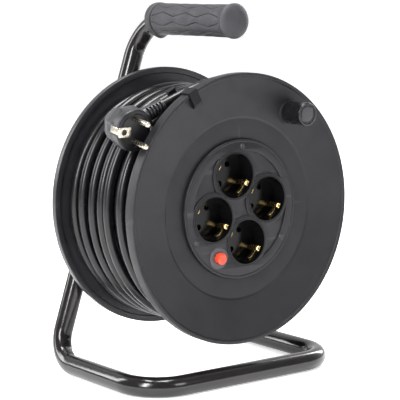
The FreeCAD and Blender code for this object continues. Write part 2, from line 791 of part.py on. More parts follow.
def text(value):
    """A number as the text of an expression."""
    return "%.4f" % value


def socket_panel():
    """Round panel with the openings for the sockets, the button and the screws."""
    body = new_body("socket_panel", along=("panel_front",))
    plan = new_sketch(body, "panel_plan", "XZ_Plane")
    circle(plan, "panel_radius")
    for across, up in socket_centres():
        circle(plan, "well_hole", text(across), text(up))
    circle(plan, "cutout_bore", "cutout_x", "cutout_z")
    for angle in PANEL_SCREW_ANGLES:
        circle(plan, "panel_screw_radius", text(size("panel_screw_circle") * math.cos(math.radians(angle))),
               text(size("panel_screw_circle") * math.sin(math.radians(angle))))
    pad(body, "panel_disc", plan, ("panel_depth",))


def socket_wells():
    """Four wells, each with two pin holes and two slots for its earth contact."""
    for index, (across, up) in enumerate(socket_centres(), start=1):
        label = "socket_well_%d" % index
        body = new_body(label, along=("panel_front", "-well_proud"), across=(text(across),), up=(text(up),),
                        turn=row_turn())
        plan = new_sketch(body, label + "_plan", "XZ_Plane")
        circle(plan, "well_outer")
        circle(plan, "pin_hole", "pin_half", "0")
        circle(plan, "pin_hole", "-pin_half", "0")
        pad(body, label + "_block", plan, ("well_recess", "well_floor"))
        doc.recompute()
        recess = new_sketch(body, label + "_recess_plan", "XZ_Plane")
        circle(recess, "well_inner")
        pocket(body, label + "_recess", recess, ("well_recess",))
        doc.recompute()
        slots = new_sketch(body, label + "_slot_plan", "XZ_Plane")
        half = text(size("earth_width") / 2 + 0.2)
        low = text(size("earth_half") - size("earth_thick") / 2 - 0.2)
        high = text(size("earth_half") + size("earth_thick") / 2 + 0.2)
        outline_at(slots, half, low, high)
        outline_at(slots, half, "-" + high, "-" + low)
        pocket(body, label + "_slots", slots, ("well_recess", "well_floor", "1.0"))


def outline_at(sketch, half, low, high):
    """A rectangle across the middle, between two heights."""
    offset = sketch.GeometryCount
    corners = [("-" + half, low), (half, low), (half, high), ("-" + half, high)]
    points = [FreeCAD.Vector(number(first), number(second), 0) for first, second in corners]
    for index in range(4):
        sketch.addGeometry(Part.LineSegment(points[index], points[(index + 1) % 4]), False)
    for index, (first, second) in enumerate(corners):
        previous = offset + (index - 1) % 4
        sketch.addConstraint(Sketcher.Constraint("Coincident", previous, 2, offset + index, 1))
        sketch.addConstraint(Sketcher.Constraint("DistanceX", -1, 1, offset + index, 1, number(first)))
        sketch.addConstraint(Sketcher.Constraint("DistanceY", -1, 1, offset + index, 1, number(second)))


def earth_contacts():
    """A brass bow per socket: two spring arms up the well and a bridge behind its floor."""
    reach = size("earth_reach")
    tip = size("earth_tip")
    half = size("earth_half")
    thick = size("earth_thick")
    # Each strip: distance from the middle of the socket, length that way, start and depth along the axis.
    strips = [
        (-half - thick / 2, 2 * half + thick, 0.1, thick),
        (-half - thick / 2, thick, -reach, reach + 0.1 + thick),
        (half - thick / 2, thick, -reach, reach + 0.1 + thick),
        (-half - thick / 2, tip, -reach, thick),
        (half + thick / 2 - tip, tip, -reach, thick),
    ]
    for index, centre in enumerate(socket_centres(), start=1):
        name = "earth_contact_%d" % index
        pieces = []
        for strip, (start, length, front, depth) in enumerate(strips):
            item = doc.addObject("Part::Box", "%s_strip_%d" % (name, strip))
            item.setExpression("Length", total("earth_width"))
            item.Width = depth
            item.Height = length
            item.Placement.Base = FreeCAD.Vector(-size("earth_width") / 2, front, start)
            pieces.append(item)
        bow = fuse(name, pieces)
        place_on_drum(bow, ("panel_front", "-well_proud", "well_recess", "well_floor"),
                      (text(centre[0]),), (text(centre[1]),), row_turn())
        keep(bow, name)


def contact_bar(label, level, points, runs, width, sleeves):
    """A stamped bar of straight runs between points, with a sleeve towards the socket at each point."""
    pieces = []
    for index, (start, end) in enumerate(runs):
        first = points[start]
        second = points[end]
        run = math.hypot(second[0] - first[0], second[1] - first[1])
        angle = math.degrees(math.atan2(second[1] - first[1], second[0] - first[0]))
        strip = doc.addObject("Part::Box", "%s_strip_%d" % (label, index))
        strip.Length = run
        strip.setExpression("Width", total("bar_depth"))
        strip.setExpression("Height", total(width))
        turn = FreeCAD.Rotation(FreeCAD.Vector(0, 1, 0), -angle)
        corner = turn.multVec(FreeCAD.Vector(0, 0, -size(width) / 2))
        place_on_drum(strip, (level,), (text(first[0] + corner.x),), (text(first[1] + corner.z),), turn)
        pieces.append(strip)
    radius = "sleeve_outer" if sleeves else "earth_bar_width"
    for index, (across, up) in enumerate(points):
        start = ("sleeve_front",) if sleeves else (level,)
        length = (level, "-sleeve_front", "bar_depth") if sleeves else ("bar_depth",)
        pieces.append(cylinder("%s_sleeve_%d" % (label, index), radius, length, (text(across),), start,
                               (text(up),)))
    solid = fuse(label + "_solid", pieces)
    if not sleeves:
        return keep(solid, label)
    bores = []
    for index, (across, up) in enumerate(points):
        bores.append(cylinder("%s_bore_%d" % (label, index), "sleeve_inner",
                              (level, "-sleeve_front", "bar_depth"), (text(across),), ("sleeve_front",),
                              (text(up),)))
    return keep(cut(label, solid, fuse(label + "_bores", bores)), label)


def contact_bars():
    """Live, neutral and earth bars behind the wells."""
    middles = socket_centres()
    half = size("pin_half")
    live = [on_row(middle, -half) for middle in middles]
    neutral = [on_row(middle, half) for middle in middles]
    contact_bar("live_bar", "live_level", live, [(1, 2), (2, 0), (0, 3)], "bar_width", True)
    contact_bar("neutral_bar", "neutral_level", neutral, [(0, 1), (1, 2), (2, 3)], "bar_width", True)
    contact_bar("earth_bar", "earth_level", middles, [(0, 2), (1, 3)], "earth_bar_width", False)


def module_cover():
    """Cup behind the sockets, with three screw posts and the cable hole."""
    wall = ring("cover_wall", "cover_outer", "cover_inner", ("cover_back", "-cover_front"),
                along=("cover_front",))
    floor = cylinder("cover_floor_disc", "cover_outer", ("cover_back", "-cover_floor"),
                     along=("cover_floor",))
    posts = []
    drills = []
    for index, angle in enumerate(PANEL_SCREW_ANGLES):
        across = text(size("panel_screw_circle") * math.cos(math.radians(angle)))
        up = text(size("panel_screw_circle") * math.sin(math.radians(angle)))
        posts.append(cylinder("cover_post_%d" % index, "panel_post", ("cover_floor", "-cover_front", "1.0"),
                              (across,), ("cover_front",), (up,)))
        drills.append(cylinder("cover_drill_%d" % index, "panel_screw_radius", ("14.0",), (across,),
                               ("cover_front",), (up,)))
    drills.append(cylinder("cover_cable_hole", "cable_radius", ("6.0",), along=("cover_floor", "-1.0"),
                           up=("clamp_height",)))
    keep(cut("module_cover", fuse("cover_solid", [wall, floor] + posts), fuse("cover_drills", drills)),
         "module_cover")


def panel_screws():
    """Three screws that pull the panel and the cup together."""
    screws = []
    for index, angle in enumerate(PANEL_SCREW_ANGLES):
        across = text(size("panel_screw_circle") * math.cos(math.radians(angle)))
        up = text(size("panel_screw_circle") * math.sin(math.radians(angle)))
        shank = cylinder("panel_shank_%d" % index, "panel_screw_radius", ("18.0",), (across,),
                         ("panel_front",), (up,))
        head = cone("panel_head_%d" % index, "2.0", "panel_screw_head", ("0.8",), (across,),
                    ("panel_front", "-0.8"), (up,))
        screws.append(fuse("panel_screw_%d" % index, [shank, head]))
    keep(group("panel_screws", screws), "panel_screws")


def cable_clamp():
    """Clamp block on the back of the cup, with its two screws."""
    block = box("clamp_block", ("28.0",), ("clamp_depth",), ("14.0",), ("-14.0",), ("cover_back",),
                ("clamp_height", "-7.0"))
    spot = {"along": ("cover_back",), "up": ("clamp_height",)}
    tools = [cylinder("clamp_bore", "cable_radius", ("clamp_depth",), **spot)]
    for side in (-1, 1):
        tools.append(cylinder("clamp_hole_%d" % side, "screw_radius", ("clamp_depth",),
                              across=(text(side * 10.0),), **spot))
    keep(cut("cable_clamp", block, fuse("clamp_tools", tools)), "cable_clamp")
    screws = []
    for side in (-1, 1):
        across = (text(side * 10.0),)
        shank = cylinder("clamp_shank_%d" % side, "screw_radius", ("clamp_depth",), across=across, **spot)
        head = cone("clamp_head_%d" % side, "3.2", "2.0", ("1.8",), across, ("cover_back", "clamp_depth"),
                    ("clamp_height",))
        screws.append(fuse("clamp_screw_%d" % side, [shank, head]))
    keep(group("clamp_screws", screws), "clamp_screws")


def thermal_cutout():
    """Overload cut-out: housing, bezel ring, reset button and return spring."""
    spot = {"across": ("cutout_x",), "up": ("cutout_z",)}
    start = ("panel_front", "panel_depth")
    length = ("cutout_back", "-panel_front", "-panel_depth")
    housing = cylinder("cutout_body", "cutout_outer", length, along=start, **spot)
    bore = cylinder("cutout_room", "cutout_bore", length + ("-2.5",), along=start, **spot)
    keep(cut("thermal_cutout", housing, bore), "thermal_cutout")

    bezel = cone("bezel_body", "8.6", "bezel_outer", ("1.2",), along=("panel_front", "-1.2"), **spot)
    hole = cylinder("bezel_hole", "cutout_bore", ("1.4",), along=("panel_front", "-1.3"), **spot)
    keep(cut("button_bezel", bezel, hole), "button_bezel")

    body = new_body("reset_button", along=("-button_proud",), across=("cutout_x",), up=("cutout_z",))
    revolve(body, "button_turned", [
        ("0", "0"),
        ("0", "3.6"),
        ("0.9", "button_radius"),
        ("button_length", "button_radius"),
        ("button_length", "0"),
    ])

    wire = Part.makeHelix(size("spring_pitch"), size("spring_length"), size("spring_radius"))
    profile = Part.Wire(Part.makeCircle(size("spring_wire"), FreeCAD.Vector(size("spring_radius"), 0, 0),
                                        FreeCAD.Vector(0, 1, 0)))
    coil = Part.Wire(wire.Edges).makePipeShell([profile], True, True)
    spring = keep(feature("reset_spring", coil), "reset_spring")
    seat = size("cutout_back") - 2.5 - size("spring_length") - size("spring_wire")
    spring.Placement = FreeCAD.Placement(drum_point(size("cutout_x"), seat, size("cutout_z")), ALONG_Y)


# ---------------------------------------------------------------- knob

def winding_knob():
    """Turning knob on its pin, with its washer and cap."""
    spot = {"across": ("knob_x",), "up": ("knob_z",)}
    front = ("knob_start", "-knob_length")
    body = new_body("winding_knob", along=front, **spot)
    length = size("knob_length")
    cap = size("knob_cap_depth") + 0.4
    revolve(body, "knob_turned", [
        ("0", "knob_cap"),
        ("0", "9.4"),
        ("0.9", "knob_radius"),
        (text(length), "knob_radius"),
        (text(length), "knob_bore"),
        ("knob_pocket_depth", "knob_bore"),
        ("knob_pocket_depth", "knob_pocket"),
        (text(cap), "knob_pocket"),
        (text(cap), "knob_cap"),
    ])
    keep(cylinder("knob_cap", "knob_cap", ("knob_cap_depth",), along=front + ("0.4",), **spot), "knob_cap")
    keep(ring("knob_washer", "knob_base", "knob_pin", ("1.2",), along=("seat_front", "-1.2"), **spot),
         "knob_washer")
    nut_front = ("seat_front", "seat_depth")
    shank = cylinder("knob_pin_shank", "knob_pin", nut_front + ("4.6", "-knob_start", "knob_length", "-3.2"),
                     along=front + ("3.2",), **spot)
    head = cylinder("knob_pin_head_disc", "knob_pin_head", ("2.6",), along=front + ("3.2",), **spot)
    keep(fuse("knob_pin", [shank, head]), "knob_pin")
    nut = doc.addObject("Part::Prism", "pin_nut_hexagon")
    nut.Polygon = 6
    nut.Circumradius = 6.0
    nut.Height = 4.0
    place_on_drum(nut, nut_front, ("knob_x",), ("knob_z",), ALONG_Y)
    thread = cylinder("pin_nut_thread", "knob_pin", ("4.0",), along=nut_front, **spot)
    keep(cut("knob_pin_nut", nut, thread), "knob_pin_nut")


# ---------------------------------------------------------------- cable and plug

def cable_pieces():
    """The winding, the free stretch to the plug and the cable inside the barrel."""
    keep(ring("cable_winding", "winding_outer", "winding_inner", ("winding_width",),
              along=("winding_front",)),
         "cable_winding")
    route_tube("cable_lead", LEAD_ROUTE)
    route_tube("cable_tail", TAIL_ROUTE)


def cable_clip():
    """Snap-on clip: hooks over the rim and holds the cable between the rim and a prong."""
    body = new_body("cable_clip")
    body.Placement = FreeCAD.Placement(
        drum_point(0, 0, 0), FreeCAD.Rotation(FreeCAD.Vector(0, 1, 0), 90 - size("clip_angle")))
    sketch = new_sketch(body, "clip_profile", "YZ_Plane")
    outline(sketch, [
        ("-1.5", "109.0"),
        ("0.6", "106.0"),
        ("2.6", "106.0"),
        ("1.3", "115.0"),
        ("-0.1", "116.4"),
        ("-0.1", "rim_radius"),
        ("rim_depth", "rim_radius"),
        ("rim_depth", "107.3"),
        ("31.4", "107.3"),
        ("31.4", "122.0"),
        ("27.6", "121.0"),
        ("29.8", "118.8"),
        ("29.8", "108.9"),
        ("11.6", "108.9"),
        ("11.6", "121.5"),
        ("-1.5", "121.5"),
    ])
    solid = body.newObject("PartDesign::Pad", "clip_body")
    solid.Profile = sketch
    solid.setExpression("Length", total("clip_width"))
    solid.Midplane = True


def plug_turn():
    """Rotation of the plug: local -Y is the pin direction, local Z points along the row of pins."""
    return FreeCAD.Rotation(size("plug_yaw"), 0, size("plug_pitch"))


def plug_place(item, offset=(0, 0, 0), turn=FreeCAD.Rotation()):
    """Place an item by its position on the plug."""
    origin = drum_point(size("plug_x"), size("plug_y"), size("plug_z"))
    item.Placement = FreeCAD.Placement(origin, plug_turn()).multiply(
        FreeCAD.Placement(FreeCAD.Vector(*offset), turn))
    return item


def plug_cylinder(name, radius, length, offset, turn=ALONG_Y):
    """A cylinder on the plug, along the plug's own +Y unless turned."""
    item = doc.addObject("Part::Cylinder", name)
    item.setExpression("Radius", total(radius))
    item.setExpression("Height", total(*length))
    return plug_place(item, offset, turn)


def plug_parts():
    """Angled earthed plug: moulded body, two pins, two earth strips and the strain relief."""
    exit_turn = FreeCAD.Rotation(FreeCAD.Vector(0, 1, 0), 90 - size("boot_turn"))
    exit_line = exit_turn.multVec(FreeCAD.Vector(0, 0, 1))
    depth = FreeCAD.Vector(0, size("boot_depth"), 0)

    front = plug_cylinder("plug_front", "plug_radius", ("plug_rim",), (0, 0, 0))
    back = doc.addObject("Part::Cone", "plug_taper_body")
    back.setExpression("Radius1", total("plug_radius"))
    back.setExpression("Radius2", total("plug_back"))
    back.setExpression("Height", total("plug_taper"))
    plug_place(back, (0, size("plug_rim"), 0), ALONG_Y)
    neck = plug_cylinder("plug_neck", "neck_radius", ("boot_start",), tuple(depth), exit_turn)
    solid = fuse("plug_solid", [front, back, neck])

    root = size("plug_pin_root")
    tools = []
    pins = []
    for index, side in enumerate((1, -1), start=1):
        offset = (0, -size("plug_pin_length"), side * size("pin_half"))
        length = ("plug_pin_length", "plug_pin_root")
        pins.append(plug_cylinder("plug_pin_%d" % index, "plug_pin", length, offset))
        tools.append(plug_cylinder("pin_room_%d" % index, "plug_pin", ("plug_pin_root",),
                                   (0, 0, side * size("pin_half"))))
    for pin in pins:
        keep(pin, pin.Name)
    radius = size("plug_radius")
    for side in (-1, 1):
        channel = doc.addObject("Part::Box", "earth_channel_%d" % (side + 2))
        channel.Length = 2.0
        channel.Width = root + 4.0
        channel.Height = 7.0
        plug_place(channel, (side * (radius - 1.0) - 1.0, -0.5, -3.5))
        tools.append(channel)
    keep(cut("plug_body", solid, fuse("plug_tools", tools)), "plug_body")

    for index, side in enumerate((-1, 1), start=1):
        strip = doc.addObject("Part::Box", "earth_strip_%d_body" % index)
        strip.Length = 0.8
        strip.Width = root + 3.5
        strip.Height = 6.0
        inner = side * (radius - 1.6) - 0.4
        plug_place(strip, (inner, 0, -3.0))
        keep(strip, "plug_earth_%d" % index)

    boot = doc.addObject("Part::Cone", "plug_boot_body")
    boot.setExpression("Radius1", total("boot_thick"))
    boot.setExpression("Radius2", total("boot_thin"))
    boot.setExpression("Height", total("boot_end", "-boot_start"))
    plug_place(boot, tuple(depth + exit_line * size("boot_start")), exit_turn)
    keep(boot, "plug_boot")
    end = boot.Placement.multVec(FreeCAD.Vector(0, 0, size("boot_end") - size("boot_start")))
    end = end - drum_point(0, 0, 0)
    print("cable leaves the strain relief at", [round(value, 1) for value in end])


# ---------------------------------------------------------------- build and write

def build():
    """Make every sub-part."""
    make_sheet()
    bar = frame_tube()
    leg_weld(bar)
    hand_grip(bar)
    tube_end_plug()
    axle_group(bar)
    rear_flange()
    front_flange()
    drum_barrel()
    cable_grommet()
    barrel_screws()
    bearing_bush()
    socket_panel()
    socket_wells()
    earth_contacts()
    contact_bars()
    module_cover()
    panel_screws()
    cable_clamp()
    thermal_cutout()
    winding_knob()
    cable_pieces()
    cable_clip()
    plug_parts()
    doc.recompute()


def write():
    """Check every object, then write one STEP file per sub-part."""
    failed = [item.Label for item in doc.Objects if "Invalid" in item.State or "Error" in item.State]
    if failed:
        raise RuntimeError("objects that failed: " + ", ".join(failed))
    for label, item in subparts.items():
        if item.Shape.isNull() or not item.Shape.isValid():
            raise RuntimeError("no valid shape: " + label)
    os.makedirs("parts", exist_ok=True)
    for label, item in subparts.items():
        item.Shape.exportStep("parts/%s.step" % label)
    print(len(subparts), "sub-parts written")


build()
write()
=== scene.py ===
import math

import bmesh
import bpy
from mathutils import Matrix, Vector


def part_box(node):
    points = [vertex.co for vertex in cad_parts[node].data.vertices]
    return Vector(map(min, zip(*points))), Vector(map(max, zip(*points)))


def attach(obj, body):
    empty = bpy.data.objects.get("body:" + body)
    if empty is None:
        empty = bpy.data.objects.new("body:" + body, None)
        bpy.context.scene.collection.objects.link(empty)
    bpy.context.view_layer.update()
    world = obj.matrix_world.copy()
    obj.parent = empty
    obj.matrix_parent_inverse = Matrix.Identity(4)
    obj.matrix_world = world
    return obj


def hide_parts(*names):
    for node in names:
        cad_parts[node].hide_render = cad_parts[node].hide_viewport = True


# Looks of an extension cord reel around its CAD frame. Numbers in comments and calls are millimetres
# from the drum axis (x, z) and the front edge of the front flange (y), unless they say otherwise.

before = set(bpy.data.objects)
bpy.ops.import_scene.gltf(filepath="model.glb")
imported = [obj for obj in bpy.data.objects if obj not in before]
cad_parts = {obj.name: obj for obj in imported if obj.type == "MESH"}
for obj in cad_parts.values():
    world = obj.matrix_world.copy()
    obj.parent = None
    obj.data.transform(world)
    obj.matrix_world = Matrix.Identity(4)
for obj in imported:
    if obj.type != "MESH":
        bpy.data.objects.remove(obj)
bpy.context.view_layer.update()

MM = 0.001
flange_low, flange_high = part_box("front_flange")
FRONT = flange_low.y
AXLE = (flange_low.z + flange_high.z) / 2


def at(x, y, z):
    """A point of the shared frame, in metres, from millimetres off the drum axis and the front edge."""
    return Vector((x * MM, FRONT + y * MM, AXLE + z * MM))


def offset(point):
    """Millimetres from the drum axis and the front edge, from a point of the shared frame."""
    return Vector((point.x / MM, (point.y - FRONT) / MM, (point.z - AXLE) / MM))


def middle(node):
    """The middle of a CAD node's box, in millimetres from the drum axis and the front edge."""
    low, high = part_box(node)
    return offset((low + high) / 2)


def link(name, data):
    """A new object with this data, in the scene."""
    obj = bpy.data.objects.new(name, data)
    bpy.context.scene.collection.objects.link(obj)
    return obj


# ---------------------------------------------------------------- camera

# The photo's view, fitted to the outlines of both flange rims.
AZIMUTH = math.radians(-37.61)
ELEVATION = math.radians(7.96)
CAMERA_SPOT = (-852.07, -1041.94, 196.68)
LENS = 139.5
SENSOR = 36.0

camera_data = bpy.data.cameras.new("camera")
camera_data.lens = LENS
camera_data.sensor_width = SENSOR
camera = link("camera", camera_data)
camera.location = at(*CAMERA_SPOT)
camera.rotation_euler = (math.pi / 2 - ELEVATION, 0.0, AZIMUTH)
bpy.context.scene.camera = camera


# ---------------------------------------------------------------- the cable

CABLE = 8.4
PER_TURN = 16
# The curve runs inside its control points, at this share of their radius.
TURN_SHRINK = 0.981
# Out of the barrel's hole and round into the first turn, as (x, z).
OUT_OF_HOLE = [(0.0, -79.0), (9.0, -85.6)]
# Turns wound so far, distance behind the front edge and radius of the cable's centreline. The first
# layer goes to the front, the second back, and the loose third layer comes to the front again.
WOUND = [
    (0.0, 105.0, 84.6),
    (8.67, 27.6, 84.6),
    (9.67, 18.5, 84.6),
    (10.0, 18.5, 93.1),
    (11.0, 27.7, 93.1),
    (19.67, 104.0, 93.1),
    (20.3, 110.0, 93.1),
    (20.62, 114.2, 102.0),
    (20.9, 115.6, 102.6),
    (21.1, 115.4, 102.4),
    (21.5, 103.0, 103.0),
    (22.0, 99.5, 102.6),
    (22.5, 87.2, 102.3),
    (23.0, 84.0, 102.8),
    (23.5, 73.2, 102.4),
    (24.0, 71.2, 102.3),
    (24.5, 63.2, 103.0),
    (25.0, 61.0, 102.4),
    (25.5, 43.6, 102.6),
    (26.0, 41.0, 102.2),
    (26.5, 29.4, 102.4),
    (27.0, 27.4, 102.6),
    (27.3, 27.0, 103.2),
]
# The loose turns hang off the layer below them by up to SAG at the bottom of the drum.
LOOSE_AFTER = 20.9
LOOSE_UNTIL = 27.0
SAG = 3.6
# The free stretch from the winding over the top of the drum and under the clip to the plug.
LEAD = [
    (80.0, 27.0, 71.0),
    (64.0, 24.0, 90.6),
    (43.0, 21.5, 104.8),
    (19.0, 20.0, 112.4),
    (-6.0, 19.5, 114.0),
    (-30.0, 20.0, 110.2),
    (-51.0, 22.3, 102.7),
    (-69.0, 26.6, 93.8),
]


def wound(turns):
    """Distance behind the front edge and centreline radius after so many turns."""
    for (t0, y0, r0), (t1, y1, r1) in zip(WOUND, WOUND[1:]):
        if turns <= t1:
            share = (turns - t0) / (t1 - t0)
            return y0 + (y1 - y0) * share, r0 + (r1 - r0) * share
    return WOUND[-1][1:]


def cable_points():
    """Control points: out of the barrel's hole, round the drum, and over to the plug."""
    hole = middle("cable_grommet")
    points = [(x, hole.y, z) for x, z in OUT_OF_HOLE]
    for step in range(1, int(WOUND[-1][0] * PER_TURN) + 1):
        turns = step / PER_TURN
        along, radius = wound(turns)
        angle = math.radians(-90 + 360 * turns)
        reach = radius / TURN_SHRINK
        if LOOSE_AFTER < turns < LOOSE_UNTIL:
            reach += SAG * max(0.0, -math.sin(angle)) ** 2
        points.append((reach * math.cos(angle), along, reach * math.sin(angle)))
    return points + LEAD


def round_cable(name, points, radius):
    """A smooth round cable that follows control points."""
    data = bpy.data.curves.new(name, "CURVE")
    data.dimensions = "3D"
    data.bevel_depth = radius * MM
    data.bevel_resolution = 5
    data.resolution_u = 8
    data.use_fill_caps = True
    spline = data.splines.new("NURBS")
    spline.points.add(len(points) - 1)
    for slot, point in zip(spline.points, points):
        slot.co = (*at(*point), 1.0)
    spline.order_u = 3
    spline.use_endpoint_u = True
    return link(name, data)


mains_cable = round_cable("mains_cable", cable_points(), CABLE / 2)


# ---------------------------------------------------------------- materials

# Depth of each kind of relief in metres, and the pointiness at which the painted highlight on edges starts
# and ends.
GRAIN_DEPTH = 0.0004
WAVE_DEPTH = 0.0012
SCRATCH_DEPTH = 0.0002
EDGE_HIGHLIGHT_FROM = 0.515
EDGE_HIGHLIGHT_TO = 0.56


def noise(tree, coordinates, scale, detail, rough=0.55):
    """The value of a noise texture."""
    node = tree.nodes.new("ShaderNodeTexNoise")
    node.inputs["Scale"].default_value = scale
    node.inputs["Detail"].default_value = detail
    node.inputs["Roughness"].default_value = rough
    tree.links.new(coordinates, node.inputs["Vector"])
    return node.outputs["Fac"]


def ramp(tree, value, low, high, first, second):
    """A colour or number that runs from first to second as value goes from low to high."""
    node = tree.nodes.new("ShaderNodeValToRGB")
    node.color_ramp.elements[0].position = low
    node.color_ramp.elements[1].position = high
    node.color_ramp.elements[0].color = (*first, 1.0)
    node.color_ramp.elements[1].color = (*second, 1.0)
    tree.links.new(value, node.inputs["Fac"])
    return node.outputs["Color"]


def bumped(tree, height, strength, depth, normal=None):
    """A normal with this relief, added to an earlier normal."""
    node = tree.nodes.new("ShaderNodeBump")
    node.inputs["Strength"].default_value = strength
    node.inputs["Distance"].default_value = depth
    tree.links.new(height, node.inputs["Height"])
    if normal is not None:
        tree.links.new(normal, node.inputs["Normal"])
    return node.outputs["Normal"]


def material(name, colour, rough, metal=0.0, spec=0.5, variation=0.25, cloud=60.0, grain=1800.0,
             bump=0.05, rough_spread=0.08, scratches=0.0, wave=0.0, edge=0.0):
    """Clouded colour, uneven roughness and fine grain; optional scratches, orange peel and sharp edges
    painted lighter as a painted highlight.
    """
    made = bpy.data.materials.new(name)
    made.use_nodes = True
    tree = made.node_tree
    shader = tree.nodes["Principled BSDF"]
    shader.inputs["Metallic"].default_value = metal
    shader.inputs["Specular IOR Level"].default_value = spec
    where = tree.nodes.new("ShaderNodeTexCoord").outputs["Object"]
    clouds = noise(tree, where, cloud, 4.0)
    darker = tuple(part * (1 - variation) for part in colour)
    lighter = tuple(min(1.0, part * (1 + variation)) for part in colour)
    shade = ramp(tree, clouds, 0.3, 0.7, darker, lighter)
    # Sharp edges get a lighter colour: a painted highlight along the edges.
    if edge > 0:
        sharpness = tree.nodes.new("ShaderNodeNewGeometry").outputs["Pointiness"]
        highlight_mask = ramp(tree, sharpness, EDGE_HIGHLIGHT_FROM, EDGE_HIGHLIGHT_TO, (0, 0, 0), (edge, edge, edge))
        mix = tree.nodes.new("ShaderNodeMix")
        mix.data_type = "RGBA"
        mix.inputs["B"].default_value = (*[min(1.0, part * 3 + 0.03) for part in colour], 1.0)
        tree.links.new(highlight_mask, mix.inputs["Factor"])
        tree.links.new(shade, mix.inputs["A"])
        shade = mix.outputs["Result"]
    tree.links.new(shade, shader.inputs["Base Color"])
    smudge = noise(tree, where, cloud * 2.3, 6.0, 0.65)
    low = max(0.02, rough - rough_spread)
    high = min(1.0, rough + rough_spread)
    gloss = ramp(tree, smudge, 0.3, 0.75, (low, low, low), (high, high, high))
    tree.links.new(gloss, shader.inputs["Roughness"])
    normal = bumped(tree, noise(tree, where, grain, 3.0), bump, GRAIN_DEPTH)
    if wave > 0:
        normal = bumped(tree, noise(tree, where, 160.0, 2.0), wave, WAVE_DEPTH, normal)
    if scratches > 0:
        stretch = tree.nodes.new("ShaderNodeMapping")
        stretch.inputs["Scale"].default_value = (1.0, 0.06, 1.0)
        stretch.inputs["Rotation"].default_value = (0.3, 0.2, 0.9)
        tree.links.new(where, stretch.inputs["Vector"])
        lines = noise(tree, stretch.outputs["Vector"], 900.0, 2.0)
        normal = bumped(tree, lines, scratches, SCRATCH_DEPTH, normal)
    tree.links.new(normal, shader.inputs["Normal"])
    return made


# edge= sets how much lighter sharp edges are painted, as a painted highlight.
PAINT = material("black_gloss_paint", (0.009, 0.008, 0.008), 0.17, spec=0.5, bump=0.02, grain=700.0,
                 wave=0.05, rough_spread=0.05)
RUBBER = material("grip_rubber", (0.031, 0.030, 0.034), 0.6, spec=0.3, bump=0.18, grain=2200.0,
                  cloud=90.0, edge=0.3)
FLANGE = material("moulded_charcoal", (0.0088, 0.0084, 0.0104), 0.46, spec=0.27, bump=0.16,
                  grain=2600.0, cloud=35.0, edge=0.3, scratches=0.03)
REAR = material("moulded_charcoal_light", (0.0140, 0.0134, 0.0158), 0.34, spec=0.5, bump=0.12,
                grain=2600.0, cloud=30.0, edge=0.2, scratches=0.04)
PANEL = material("panel_black", (0.0066, 0.0063, 0.0080), 0.40, spec=0.27, bump=0.12, grain=2400.0,
                 cloud=70.0, edge=0.5)
RECESS = material("panel_recess", (0.004, 0.004, 0.005), 0.5, spec=0.2, bump=0.2, grain=1500.0)
WELL = material("well_black", (0.0022, 0.0021, 0.0026), 0.2, spec=0.2, bump=0.02, rough_spread=0.03,
                variation=0.1)
KNOB = material("knob_black", (0.005, 0.005, 0.006), 0.25, spec=0.45, bump=0.05, edge=0.45)
KNOB_CAP = material("knob_cap_grey", (0.035, 0.035, 0.039), 0.5, spec=0.4, bump=0.15)
BUSH = material("bearing_plastic", (0.30, 0.29, 0.26), 0.45, bump=0.08)
BRASS = material("contact_brass", (0.83, 0.62, 0.24), 0.25, metal=1.0, bump=0.05, scratches=0.12,
                 variation=0.14, cloud=240.0)
NICKEL = material("pin_nickel", (0.44, 0.41, 0.34), 0.27, metal=1.0, bump=0.03, scratches=0.15,
                  variation=0.1, cloud=200.0)
ZINC = material("zinc_steel", (0.50, 0.51, 0.53), 0.34, metal=1.0, bump=0.1, scratches=0.1,
                variation=0.16, cloud=320.0)
BLACKENED = material("blackened_steel", (0.030, 0.030, 0.033), 0.4, metal=0.6, bump=0.08,
                     variation=0.2, cloud=320.0)
RED = material("reset_red", (0.72, 0.045, 0.015), 0.35, spec=0.5, bump=0.04, variation=0.12)
COLLAR = material("reset_collar_grey", (0.019, 0.019, 0.021), 0.4, spec=0.35, bump=0.06, edge=0.4)
SHEATH = material("cable_sheath", (0.0042, 0.0040, 0.0049), 0.3, spec=0.4, bump=0.04, grain=900.0,
                  cloud=45.0, wave=0.03, rough_spread=0.04)
PLUG = material("plug_rubber", (0.0165, 0.016, 0.019), 0.40, spec=0.42, bump=0.12, grain=2000.0,
                cloud=120.0, edge=0.3)
PLUG_FACE = material("plug_face", (0.0055, 0.0052, 0.0065), 0.35, spec=0.3, bump=0.1, grain=2000.0,
                     cloud=120.0, edge=0.3)


def paint(obj, *finishes):
    """Give an object these materials in place of its own."""
    obj.data.materials.clear()
    for finish in finishes:
        obj.data.materials.append(finish)
    return obj


# ---------------------------------------------------------------- mesh helpers

# Points closer to each other than this, in metres, are one point.
WELD = 0.00001


def outward(mesh, weld=False):
    """Turn all faces outwards, after welding points that coincide when asked to."""
    build = bmesh.new()
    build.from_mesh(mesh)
    if weld:
        bmesh.ops.remove_doubles(build, verts=build.verts, dist=WELD)
    bmesh.ops.recalc_face_normals(build, faces=build.faces)
    build.to_mesh(mesh)
    build.free()


def smooth(mesh, sharp):
    """Smooth shading, broken where faces meet at more than the sharp angle in degrees."""
    mesh.polygons.foreach_set("use_smooth", [True] * len(mesh.polygons))
    mesh.set_sharp_from_angle(angle=math.radians(sharp))
    mesh.update()


def add_mesh(name, verts, faces, finish, sharp=32.0):
    """An object from points in metres; faces meet smoothly below the sharp angle."""
    mesh = bpy.data.meshes.new(name)
    mesh.from_pydata([tuple(v) for v in verts], [], faces)
    outward(mesh)
    obj = link(name, mesh)
    paint(obj, finish)
    smooth(mesh, sharp)
    return obj


def applied(obj):
    """A mesh of the object with its modifiers applied."""
    graph = bpy.context.evaluated_depsgraph_get()
    return bpy.data.meshes.new_from_object(obj.evaluated_get(graph))


def grid_faces(rows, columns, first=0):
    """Four-sided faces over a grid of points that is stored row by row from this index."""
    faces = []
    for row in range(rows - 1):
        for column in range(columns - 1):
            corner = first + row * columns + column
            faces.append([corner, corner + 1, corner + columns + 1, corner + columns])
    return faces


